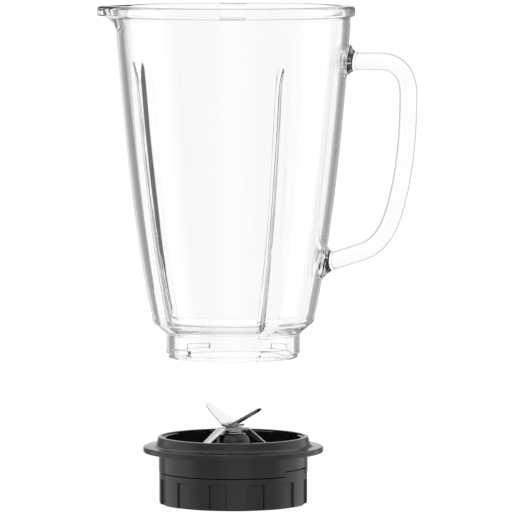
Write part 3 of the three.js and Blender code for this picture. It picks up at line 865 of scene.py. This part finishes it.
@dataclass
class KnifeHousing:
    """The cup that takes the jug's foot, with its flange, bearing boss and bayonet hooks. Millimetres."""

    skirt_radius: float = 46.8
    seam: float = 20.2
    flange_radius: float = 56.6
    flange: tuple[float, float] = (32.4, 36.0)
    cup_radius: float = 47.1
    cup_bore: float = 44.6
    cup_rim: float = 42.3
    floor: float = 24.0
    hook_bore: float = 42.6
    hook_span: tuple[float, float] = (34.6, 41.4)
    hook_from: float = 54.0
    hook_width: float = 56.0
    stop_from: float = 76.5
    stop_width: float = 2.5
    tab_from: float = -46.0
    tab_width: float = 32.0
    tab_height: float = 3.5
    tab_depth: float = 45.15

    def section(self) -> Array:
        """The housing's closed section."""
        low, high = self.flange
        skirt, rim = self.skirt_radius, self.cup_rim
        corners = [
            Corner(6.8, 20.9), Corner(9.5, 20.9), Corner(9.5, 21.5), Corner(43.9, 21.5),
            Corner(43.9, self.seam),
            Corner(self.tab_depth, self.seam), Corner(self.tab_depth + 0.15, self.seam),
            Corner(skirt, self.seam, 0.45),
            Corner(skirt, low, 0.9), Corner(self.flange_radius, low, 0.9),
            Corner(self.flange_radius, high, 1.0),
            Corner(50.4, high + 0.15, 0.6), Corner(48.4, high + 1.2, 2.6), Corner(self.cup_radius, rim, 0.9),
            Corner(self.cup_bore, rim, 0.9), Corner(self.cup_bore, 41.6), Corner(self.cup_bore, 41.2),
            Corner(self.cup_bore, 34.8), Corner(self.cup_bore, 34.4), Corner(self.cup_bore, 30.8),
            Corner(self.cup_bore, 30.4), Corner(self.cup_bore, self.floor, 0.6),
            Corner(34.0, self.floor, 0.5),
            Corner(33.4, 27.0, 1.4), Corner(30.0, 28.4, 4.0), Corner(18.0, 29.4, 9.0),
            Corner(12.6, 31.4, 4.0),
            Corner(10.6, 40.6, 5.0), Corner(8.9, 43.6, 1.0), Corner(6.8, 43.6)]
        return rounded(corners, 11)

    def build(self, plastic: bpy.types.Material) -> None:
        """Makes the housing with its hooks and stops."""
        hooks = [self.hook_from + 90 * k for k in range(4)]
        edges = [h + d for h in hooks for d in (0, self.hook_width)]
        edges += [self.stop_from + 90 * k + d for k in range(4) for d in (0, self.stop_width)]
        edges += [self.tab_from, self.tab_from + self.tab_width]
        columns = azimuths(192, edges, 0.12)

        def shape(azimuth: Array, r: Array, z: Array) -> tuple[Array, Array]:
            """Thickens the bore at hooks and stops, and lifts the skirt's edge over the index tab."""
            quarter = (azimuth - math.radians(self.hook_from)) % (TAU / 4)
            hooked = (quarter > 0) & (quarter < math.radians(self.hook_width))
            past = quarter - math.radians(self.stop_from - self.hook_from)
            stopped = (past > 0) & (past < math.radians(self.stop_width))
            bore = np.abs(r - self.cup_bore) < 0.05
            low, high = self.hook_span
            r = np.where(bore & hooked & (z > low) & (z < high), self.hook_bore, r)
            r = np.where(bore & stopped & (z > low - 4) & (z < high), self.hook_bore, r)
            over = np.abs(away(azimuth, self.tab_from + self.tab_width / 2)) < math.radians(self.tab_width
                / 2)
            z = np.where(over & (r > self.tab_depth + 0.1) & (z < self.seam + 0.6), z + self.tab_height, z)
            return r, z

        made = piece("knife_cup", *turned(self.section(), columns, shape), 35)
        finish_piece(made, plastic, "knife_unit", "housing_plastic", "knife_housing")


@dataclass
class GripCollar:
    """The collar below the seam, with a ring of shallow finger grips and the web that the screws hold."""

    radius: float = 46.5
    wall: float = 2.6
    top: float = 19.8
    grip_count: int = 12
    grip_azimuth: float = -161.7
    grip_width: float = 13.0
    grip_height: float = 16.2
    grip_depth: float = 1.3
    web: tuple[float, float] = (10.5, 13.2)
    web_bore: float = 33.0
    tab_from: float = -45.5
    tab_width: float = 31.0
    tab_height: float = 3.3
    tab_inner: float = 45.3

    def build(self, plastic: bpy.types.Material) -> None:
        """Makes the collar with its grips and index tab."""
        inner = self.radius - self.wall
        low, high = self.web
        corners = [
            Corner(inner, 0, 0.4), Corner(self.radius - 0.05, 0, 1.2), Corner(self.radius - 0.02, 8),
            Corner(self.radius - 0.02, self.grip_height - 0.5), Corner(self.radius - 0.02, self.grip_height),
            Corner(self.radius, self.top - 0.2), Corner(self.radius - 0.4, self.top),
            Corner(self.tab_inner + 0.1, self.top),
            Corner(self.tab_inner, self.top), Corner(inner - 0.3, self.top), Corner(inner - 0.3, 21.2, 0.2),
            Corner(inner - 2.2, 21.2, 0.2), Corner(inner - 2.2, high, 0.4), Corner(self.web_bore, high, 0.3),
            Corner(self.web_bore, low, 0.3), Corner(inner, low, 0.4)]
        section = rounded(corners, 15)
        half = self.grip_width / 2
        grips = [self.grip_azimuth + 360 / self.grip_count * k for k in range(self.grip_count)]
        edges = [g + s * half for g in grips for s in (-1, 1)] + [self.tab_from, self.tab_from
            + self.tab_width]
        columns = azimuths(180, edges, 0.3)

        def shape(azimuth: Array, r: Array, z: Array) -> tuple[Array, Array]:
            """Sinks the grips into the wall and raises the index tab."""
            pitch = TAU / self.grip_count
            off = np.abs((azimuth - math.radians(self.grip_azimuth) + pitch / 2) % pitch - pitch / 2)
            sunk = (off < math.radians(half)) & (z < self.grip_height - 0.2) & (r > 44.4)
            limit = self.radius - self.grip_depth
            r = np.where(sunk, np.minimum(r, np.where(z < 0.5, limit - 0.35, limit)), r)
            on_tab = np.abs(away(azimuth, self.tab_from + self.tab_width
                / 2)) < math.radians(self.tab_width / 2)
            z = np.where(on_tab & (r > self.tab_inner + 0.05) & (z > self.top - 0.4), z + self.tab_height, z)
            return r, z

        made = piece("grip_collar", *turned(section, columns, shape), 30)
        finish_piece(made, plastic, "knife_unit", "housing_plastic", "drive_collar")


@dataclass
class SealRing:
    """The silicone ring under the jug's foot, with its centring bead."""

    inner: float = 34.6
    outer: float = 43.9
    low: float = 24.3
    top: float = 27.4
    bead: float = 28.5

    def build(self, silicone: bpy.types.Material) -> None:
        """Makes the ring."""
        corners = [
            Corner(self.inner, self.low, 0.5), Corner(self.outer, self.low, 0.5),
            Corner(self.outer, self.top, 0.9),
            Corner(40.6, self.top, 0.2), Corner(40.3, self.top - 0.35, 0.2),
            Corner(39.4, self.top - 0.35, 0.2),
            Corner(39.1, self.top, 0.2), Corner(36.3, self.top, 0.4), Corner(35.9, self.bead, 0.5),
            Corner(self.inner, self.bead, 0.6)]
        made = piece("foot_seal", *turned(rounded(corners, 15), azimuths(144)), 50)
        finish_piece(made, silicone, "seal", "silicone", "jug_seal")


@dataclass(frozen=True)
class Edge:
    """An edge of a blade's arm: how far off its middle line at the bend and the tip, and its reach."""

    root: float
    reach: float
    tip: float


@dataclass
class Blade:
    """A two-armed blade of sheet steel with a ground bevel on each leading edge. Millimetres and degrees."""

    name: str
    node: str
    height: float
    azimuth: float
    bend: float
    bend_at: float
    leading: Edge
    trailing: Edge
    far_leading: Edge | None = None
    thick: float = 1.3
    bevel: float = 2.3
    keen: float = 0.5
    ground_above: bool = False
    bend_radius: float = 2.2
    shaft_radius: float = 3.25

    def arm_sheet(self, lead: Edge, stations: int, lanes: int) -> tuple[Array, Array]:
        """Points of one arm's middle surface, unbent: how far out and across, by station and lane."""
        trail = self.trailing
        across = np.linspace(0, 1, lanes)
        out = np.linspace(0, 1, stations)[:, None]
        tip_reach = trail.reach + (lead.reach - trail.reach) * across ** 1.6
        tip_side = -trail.tip + (lead.tip + trail.tip) * across
        root_side = -trail.root + (lead.root + trail.root) * across
        return out * tip_reach[None, :], root_side[None, :] * (1 - out) + tip_side[None, :] * out

    def thickness(self, side: Array) -> Array:
        """Full thickness, thinning to a keen edge within a bevel of the leading side, or of both sides."""
        share = np.clip((side[:, -1:] - side) / self.bevel, 0, 1)
        if self.ground_above:
            share = np.minimum(share, np.clip((side - side[:, :1]) / self.bevel, 0, 1))
        return self.keen + (self.thick - self.keen) * share

    def bent(self, out: Array, up: Array) -> tuple[Array, Array]:
        """Bends the arm up, or down, round a small radius where it leaves the hub."""
        angle = math.radians(self.bend)
        length = self.bend_radius * abs(angle)
        sign = math.copysign(1.0, self.bend)
        share = np.clip((out + length / 2) / length, 0, 1)
        turn = sign * abs(angle) * share
        straight = np.maximum(out - length / 2, 0)
        radius = self.bend_radius * sign
        x = np.where(out < -length / 2, out + length / 2, abs(radius) * np.sin(np.abs(turn))) - length / 2
        z = radius * (1 - np.cos(turn))
        x = x + straight * math.cos(angle)
        z = z + straight * math.sin(angle)
        return x - up * np.sin(turn), z + up * np.cos(turn)

    def build(self, steel: bpy.types.Material, edges: bpy.types.Material) -> None:
        """Makes the blade as one closed sheet with its shaft hole, and gives its border faces the second
        material, which paints shade on them where it is a darker steel.
        """
        stations, lanes = 26, 14
        lanes_at = np.linspace(0, 1, lanes)
        arms = []
        for flip, lead in ((1, self.leading), (-1, self.far_leading or self.leading)):
            out, side = self.arm_sheet(lead, stations, lanes)
            thick = self.thickness(side)
            tip_thin = np.clip((1 - np.linspace(0, 1, stations)[:, None]) * 14, 0.35, 1)
            thick = np.maximum(self.keen, thick * tip_thin)
            layers = []
            for top in (1, -1):
                up = np.full_like(thick, self.thick / 2) if top > 0 else self.thick / 2 - thick
                if self.ground_above:
                    up = thick - self.thick / 2 if top > 0 else np.full_like(thick, -self.thick / 2)
                x, z = self.bent(out, up)
                layers.append(np.stack([(x + self.bend_at) * flip, side * flip, z], -1))
            arms.append(layers)
        hub_rows = self.hub_rows(lanes_at)
        top = np.concatenate([arms[0][0][::-1], *hub_rows[0], arms[1][0][:, ::-1]])
        under = np.concatenate([arms[0][1][::-1], *hub_rows[1], arms[1][1][:, ::-1]])
        vertices, faces = closed_sheet(top, under)
        border = 2 * (top.shape[0] + top.shape[1]) - 4
        angle = math.radians(self.azimuth)
        x, y = vertices[:, 0].copy(), vertices[:, 1].copy()
        vertices[:, 0] = x * math.cos(angle) - y * math.sin(angle)
        vertices[:, 1] = x * math.sin(angle) + y * math.cos(angle)
        vertices[:, 2] += self.height
        made = piece(self.name, vertices, outward(vertices, faces), 22)
        made.data.materials.append(steel)
        made.data.materials.append(edges)
        # Border faces take the second material; for the upper cutter its dark steel is painted shade.
        for face in made.data.polygons[-border:]:
            face.material_index = 1
        bore = rounded([Corner(self.shaft_radius, -3), Corner(self.shaft_radius, 3)])
        section = np.array([[0, self.height - 3], *[[r, z + self.height] for r, z in bore],
            [0, self.height + 3]])
        combined(made, piece("bore", *spun_solid(section, 48)), "DIFFERENCE", 22)
        finish_piece(made, (steel, edges), "rotor", "polished_steel", self.node)

    def hub_rows(self, lanes_at: Array) -> tuple[list[Array], list[Array]]:
        """Rows of the flat hub between the two bends, above and below."""
        first = -self.trailing.root + (self.leading.root + self.trailing.root) * lanes_at
        other = self.trailing.root - (self.leading.root + self.trailing.root) * lanes_at
        other = other[::-1]
        rows: tuple[list[Array], list[Array]] = ([], [])
        spots = np.linspace(self.bend_at - 1.2, -self.bend_at + 1.2, 13)
        for x in spots:
            share = (self.bend_at - x) / (2 * self.bend_at)
            side = first * (1 - share) + other * share
            for k, z in enumerate((self.thick / 2, -self.thick / 2)):
                rows[k].append(np.stack([np.full_like(side, x), side, np.full_like(side, z)], -1)[None])
        return rows


def closed_sheet(top: Array, under: Array) -> tuple[Array, list[list[int]]]:
    """Joins two matching grids of points into one closed sheet."""
    rows, lanes = top.shape[:2]
    vertices = np.vstack([top.reshape(-1, 3), under.reshape(-1, 3)])
    below = rows * lanes
    faces = []
    for i in range(rows - 1):
        for j in range(lanes - 1):
            a, b, c, d = i * lanes + j, i * lanes + j + 1, (i + 1) * lanes + j + 1, (i + 1) * lanes + j
            faces += [[a, b, c, d], [below + d, below + c, below + b, below + a]]
    border = [(i, 0) for i in range(rows)] + [(rows - 1, j) for j in range(1, lanes)]
    border += [(i, lanes - 1) for i in range(rows - 2, -1, -1)] + [(0, j) for j in range(lanes - 2, 0, -1)]
    ring = [i * lanes + j for i, j in border]
    for a, b in zip(ring, ring[1:] + ring[:1]):
        faces.append([b, a, below + a, below + b])
    return vertices, faces


@dataclass(frozen=True)
class TurnedPart:
    """A small turned ring that takes its place and size from the node that it stands for."""

    name: str
    node: str
    body: str
    slot: str
    bore: float = 3.25
    chamfer: float = 0.18

    def build(self, material: bpy.types.Material) -> None:
        """Makes the ring with eased edges."""
        low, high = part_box(self.node)
        radius = (high.x - low.x) / 2 / MM
        bottom, top = low.z / MM, high.z / MM
        ease = self.chamfer
        corners = [Corner(self.bore, bottom, ease), Corner(radius, bottom, ease), Corner(radius, top, ease),
                   Corner(self.bore, top, ease)]
        made = piece(self.name, *turned(rounded(corners, 30), azimuths(96)), 50)
        finish_piece(made, material, self.body, self.slot, self.node)


@dataclass
class Spindle:
    """The blades' shaft with its peened top."""

    radius: float = 3.0

    def build(self, steel: bpy.types.Material) -> None:
        """Makes the shaft from its node's box."""
        low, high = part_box("blade_shaft")
        bottom, top = low.z / MM, high.z / MM
        r = self.radius
        section = np.array([
            [0, bottom], [r - 0.5, bottom], [r, bottom + 0.5], [r, top - 0.55], [r - 0.15, top - 0.2],
            [r - 0.6, top], [1.2, top], [1.0, top - 0.25], [0, top - 0.35]])
        made = piece("spindle", *spun_solid(section, 72), 35)
        finish_piece(made, steel, "rotor", "machined_steel", "blade_shaft")


@dataclass
class Coupling:
    """The moulded coupling under the knife unit, with a ring of driving dogs."""

    bore: float = 3.25
    dog_count: int = 6
    dog: tuple[float, float] = (8.0, 13.2)
    dog_half_angle: float = 13.0

    def build(self, plastic: bpy.types.Material, tree: bpy.types.NodeTree) -> None:
        """Makes the hub, and the dogs as copies of one."""
        low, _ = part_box("drive_coupling")
        base = low.z / MM
        corners = [
            Corner(self.bore, base + 2.6), Corner(6, base + 2.6, 0.4), Corner(6, base + 6.4),
            Corner(13.4, base + 6.4, 0.5),
            Corner(14.4, base + 7.4, 0.4), Corner(14.4, base + 9.8, 0.5), Corner(13.2, base + 10.6, 0.6),
            Corner(7.4, base + 11.6, 0.6), Corner(self.bore, base + 11.6)]
        hub = piece("coupling_hub", *turned(rounded(corners, 20), azimuths(96)), 35)
        inner, outer = self.dog
        half = math.radians(self.dog_half_angle)
        angles = np.linspace(-half, half, 9)
        section = np.array([[inner, base], [outer - 0.5, base], [outer, base + 0.6], [outer, base + 6.6],
            [inner, base + 6.6]])
        rows = [np.stack([section[:, 0] * math.cos(a), section[:, 0] * math.sin(a), section[:, 1]], -1)
            for a in angles]
        vertices = np.vstack(rows)
        size = len(section)
        faces: list[list[int]] = [[*range(size)][::-1],
            [*range((len(angles) - 1) * size, len(angles) * size)]]
        for k in range(len(angles) - 1):
            faces += [[k * size + i, k * size + (i + 1) % size, (k + 1) * size + (i + 1) % size, (k + 1)
                * size + i]
                      for i in range(size)]
        dogs = piece("coupling_dogs", vertices, faces, 35)
        right_way_round(dogs)
        repeat_round(dogs, tree, self.dog_count, 0.0, plastic, 35)
        finish_piece(hub, plastic, "rotor", "coupling_plastic", "drive_coupling")
        finish_piece(dogs, plastic, "rotor", "coupling_plastic")


def right_way_round(made: bpy.types.Object) -> None:
    """Turns every face of a closed piece outwards."""
    work = bmesh.new()
    work.from_mesh(made.data)
    bmesh.ops.recalc_face_normals(work, faces=work.faces)
    work.to_mesh(made.data)
    work.free()


@dataclass
class CollarScrews:
    """The cross-headed screws that hold the collar's web to the housing's posts."""

    circle: float = 37.5
    first: float = 10.0
    nodes: tuple[str, ...] = ("collar_screw_1", "collar_screw_2", "collar_screw_3", "collar_screw_4")

    def build(self, steel: bpy.types.Material, tree: bpy.types.NodeTree) -> None:
        """Makes one screw with its cross cut into the head, and repeats it."""
        low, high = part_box(self.nodes[0])
        base, top = low.z / MM, high.z / MM
        section = np.array([
            [0, base], [1.6, base], [2.3, base + 0.25], [2.85, base + 0.8], [3.05, base + 1.5],
            [3.05, base + 2.1],
            [1.35, base + 2.1], [1.35, top - 0.8], [0.8, top], [0, top]])
        vertices, faces = spun_solid(section, 36)
        screw = piece("collar_screws", vertices + np.array([self.circle, 0, 0]), faces, 35)
        for wide, deep in ((3.2, 0.7), (0.7, 3.2)):
            x, y = wide / 2, deep / 2
            flat = np.array([[-x, -y], [x, -y], [x, y], [-x, y]])
            box = np.vstack([np.column_stack([flat * s, np.full(4, z)]) for s,
                z in ((1.0, base - 0.5), (0.75, base + 0.9))])
            sides = [[0, 3, 2, 1], [4, 5, 6, 7]] + [[i, (i + 1) % 4, (i + 1) % 4 + 4, i + 4]
                for i in range(4)]
            cutter = piece("cross", box + np.array([self.circle, 0, 0]), sides)
            combined(screw, cutter, "DIFFERENCE", 35)
        repeat_round(screw, tree, len(self.nodes), self.first, steel, 35)
        finish_piece(screw, steel, "knife_unit", "machined_steel", *self.nodes)


# ---- Studio ----


@dataclass
class Studio:
    """A white table and room, soft boxes at the sides, dark flags beside the backdrop, and the camera."""

    bands: tuple[tuple[float, float], ...] = (
        (0, 0.5), (14, 0.5), (26, 0.36), (64, 0.36), (78, 0.66), (134, 0.66), (140, 0.2), (164, 0.2),
        (170, 0.6))
    band_gain: float = 1.6
    band_top: float = 28.0
    band_foot: float = 28.0
    front_box_turn: float = 6.0
    ring_inside: tuple[float, float] = (0.8, 0.9)
    ring_outside: tuple[float, float] = (0.3, 0.5)
    ring_level: float = 0.62
    through: float = 1.0
    aside: float = 0.88
    ceiling: float = 1.15
    below: float = 0.5
    floor_glow: float = 0.96
    floor_white: float = 0.12
    floor_reach: float = 40.0
    view_offset: float = 0.0153
    view_distance: float = 3.437
    view_height: float = 0.4043
    aim_height: float = 0.1546
    lens: float = 384.5

    def room(self) -> None:
        """A room that is white to the camera, and to gloss and glass has soft boxes and dark flags."""
        world = bpy.data.worlds.new("room")
        bpy.context.scene.world = world
        world.use_nodes = True
        desk = Desk(world.node_tree)
        link = desk.tree.links.new
        parts = desk.node("ShaderNodeSeparateXYZ",
            {0: desk.node("ShaderNodeTexCoord").outputs["Generated"]}).outputs
        forward = desk.math("MULTIPLY", parts[1], -1.0)
        turn = desk.math("SUBTRACT", desk.math("ARCTAN2", parts[0], forward),
            math.radians(self.front_box_turn))
        bands = desk.node("ShaderNodeValToRGB",
            {0: desk.math("DIVIDE", desk.math("ABSOLUTE", turn), math.pi)})
        ramp = bands.color_ramp
        ramp.elements.remove(ramp.elements[1])
        ramp.elements[0].color = (self.bands[0][1],) * 3 + (1,)
        for degrees, level in self.bands[1:]:
            ramp.elements.new(degrees / 180).color = (level,) * 3 + (1,)
        side = desk.node("ShaderNodeSeparateColor", {0: bands.outputs[0]}).outputs[0]
        over = desk.ramp(parts[2], math.sin(math.radians(self.band_top)),
            math.sin(math.radians(self.band_top + 14)))
        under = desk.ramp(parts[2], -math.sin(math.radians(self.band_foot + 10)),
            -math.sin(math.radians(self.band_foot)))
        low = desk.mix_values(under, self.below, desk.math("MULTIPLY", side, self.band_gain))
        high = desk.mix_values(over, low, self.ceiling)
        path = desk.node("ShaderNodeLightPath").outputs
        unreflected = desk.math("LESS_THAN", path["Glossy Depth"], 0.5)
        straight = desk.math("MULTIPLY", path["Is Transmission Ray"], unreflected)
        inner = desk.ramp(parts[1], *self.ring_inside, self.ring_level, self.through)
        outer = desk.ramp(parts[1], *self.ring_outside, self.aside, self.ring_level)
        ring = desk.math("MAXIMUM", inner, outer)
        seen = desk.mix_values(straight, high, ring)
        background = desk.tree.nodes["Background"]
        background.inputs["Color"].default_value = (1, 1, 1, 1)
        link(desk.mix_values(path["Is Camera Ray"], seen, 1.0), background.inputs["Strength"])

    def table(self) -> None:
        """A white table top that reaches past the horizon of the picture."""
        reach = self.floor_reach
        mesh = bpy.data.meshes.new("table_top")
        corners = ((-reach, -reach), (reach, -reach), (reach, reach), (-reach, reach))
        mesh.from_pydata([(x, y, -0.0002) for x, y in corners],
                         [], [[0, 1, 2, 3]])
        floor = bpy.data.objects.new("table_top", mesh)
        bpy.context.scene.collection.objects.link(floor)
        material, _, shader = fresh_material("white_table")
        shader.inputs["Base Color"].default_value = (self.floor_white,) * 3 + (1,)
        shader.inputs["Roughness"].default_value = 0.9
        shader.inputs["Specular IOR Level"].default_value = 0.0
        shader.inputs["Emission Color"].default_value = (1, 1, 1, 1)
        shader.inputs["Emission Strength"].default_value = self.floor_glow
        mesh.materials.append(material)
        floor.visible_glossy = False
        floor.visible_transmission = False

    def camera(self) -> None:
        """A long lens a little above the rim, level with the jug's middle line."""
        data = bpy.data.cameras.new("camera")
        data.lens, data.sensor_width = self.lens, 36.0
        data.clip_start, data.clip_end = 0.05, 200.0
        camera = bpy.data.objects.new("camera", data)
        bpy.context.scene.collection.objects.link(camera)
        x = AXIS_X + self.view_offset
        camera.location = (x, -self.view_distance, self.view_height)
        aim = Vector((x, 0, self.aim_height)) - camera.location
        camera.rotation_mode = "QUATERNION"
        camera.rotation_quaternion = aim.to_track_quat("-Z", "Y")
        bpy.context.scene.camera = camera

    def build(self) -> None:
        """Sets the whole studio up."""
        scene = bpy.context.scene
        scene.view_settings.view_transform = "Standard"
        scene.view_settings.look = "None"
        scene.cycles.transparent_max_bounces = 16
        scene.cycles.transmission_bounces = 24
        scene.cycles.glossy_bounces = 12
        scene.cycles.max_bounces = 28
        self.room()
        self.table()
        self.camera()


# ---- Main ----


def main() -> None:
    """Builds every piece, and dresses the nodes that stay."""
    logging.basicConfig(level=logging.INFO, format="%(name)s %(message)s")
    Studio().build()

    glass = ClearGlass("clear_pressed_glass", (1.0, 1.0, 1.0), (0.985, 0.99, 0.99), 0.012, 0.06).material()
    satin = MouldedPlastic("satin_black_plastic", (0.008, 0.008, 0.0083), (0.02, 0.02, 0.021), 0.15, 0.06,
                           grain_depth=0.04).material()
    matte = MouldedPlastic("matte_black_plastic", (0.008, 0.008, 0.0083), (0.02, 0.02, 0.02), 0.22, 0.08,
                           1200.0, 0.08).material()
    silicone = MouldedPlastic("black_silicone", (0.02, 0.02, 0.021), (0.035, 0.035, 0.035), 0.55, 0.15, 900.0,
                              0.2).material()
    polished = WorkedMetal("polished_blade_steel", (0.86, 0.86, 0.87), (0.78, 0.78, 0.79), 0.1, 0.06,
                           Marks.STRAIGHT, 700.0, 0.06).material()
    # Dark steel for the upper cutter's border faces: painted shade on its thin edges.
    painted_shade_steel = WorkedMetal("edge_steel_painted_shade", (0.2, 0.2, 0.2), (0.12, 0.12, 0.12), 0.35, 0.15,
                          Marks.STRAIGHT, 700.0, 0.1).material()
    ground = WorkedMetal("ground_blade_steel", (0.85, 0.85, 0.86), (0.76, 0.76, 0.77), 0.3, 0.08,
                         Marks.STRAIGHT, 900.0, 0.1).material()
    steel = WorkedMetal("turned_steel", (0.66, 0.66, 0.67), (0.5, 0.5, 0.51), 0.2, 0.15).material()
    bronze = WorkedMetal("sintered_bronze", (0.6, 0.4, 0.2), (0.42, 0.27, 0.13), 0.3, 0.2).material()
    tree = ring_of_copies()

    low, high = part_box("jug_body")
    GlassJug(low.z / MM, (high.z - low.z) / MM).build(glass)
    KnifeHousing().build(satin)
    GripCollar().build(matte)
    SealRing().build(silicone)
    # The upper cutter's border faces get the dark steel, as painted shade.
    Blade("upper_cutter", "upper_blade", 49.25, 134.4, 28, 5.2, Edge(5.4, 20.6, 0.9), Edge(9.9, 26.1, 5.3),
          Edge(-4.0, 24.6, -0.9), bevel=1.2).build(polished, painted_shade_steel)
    Blade("lower_cutter", "lower_blade", 47.0, 32.0, -36, 8.6, Edge(3.4, 22.0, 3.4),
          Edge(5.8, 24.0, 1.8), bevel=1.1, keen=0.4, ground_above=True).build(ground, ground)
    Spindle().build(steel)
    Coupling().build(matte, tree)
    CollarScrews().build(steel, tree)
    for part, material in (
        (TurnedPart("head_collar", "peened_collar", "rotor", "machined_steel"), steel),
        (TurnedPart("cutter_spacer", "blade_spacer", "rotor", "machined_steel"), steel),
        (TurnedPart("cutter_seat", "blade_seat", "rotor", "machined_steel"), steel),
        (TurnedPart("thrust_ring", "thrust_washer", "rotor", "machined_steel"), steel),
        (TurnedPart("end_washer", "lower_washer", "rotor", "machined_steel"), steel),
        (TurnedPart("bush_upper", "upper_bush", "knife_unit", "bearing_metal"), bronze),
        (TurnedPart("bush_lower", "lower_bush", "knife_unit", "bearing_metal"), bronze),
        (TurnedPart("bearing_tube", "bearing_sleeve", "knife_unit", "bearing_metal", 5.3), bronze),
        (TurnedPart("spindle_seal", "shaft_seal", "knife_unit", "silicone"), silicone),
    ):
        part.build(material)
    for name, material in (("bearing_nut", steel), ("retaining_ring", steel)):
        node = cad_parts[name]
        node.data.materials.clear()
        node.data.materials.append(material)


if __name__ == "__main__":
    main()
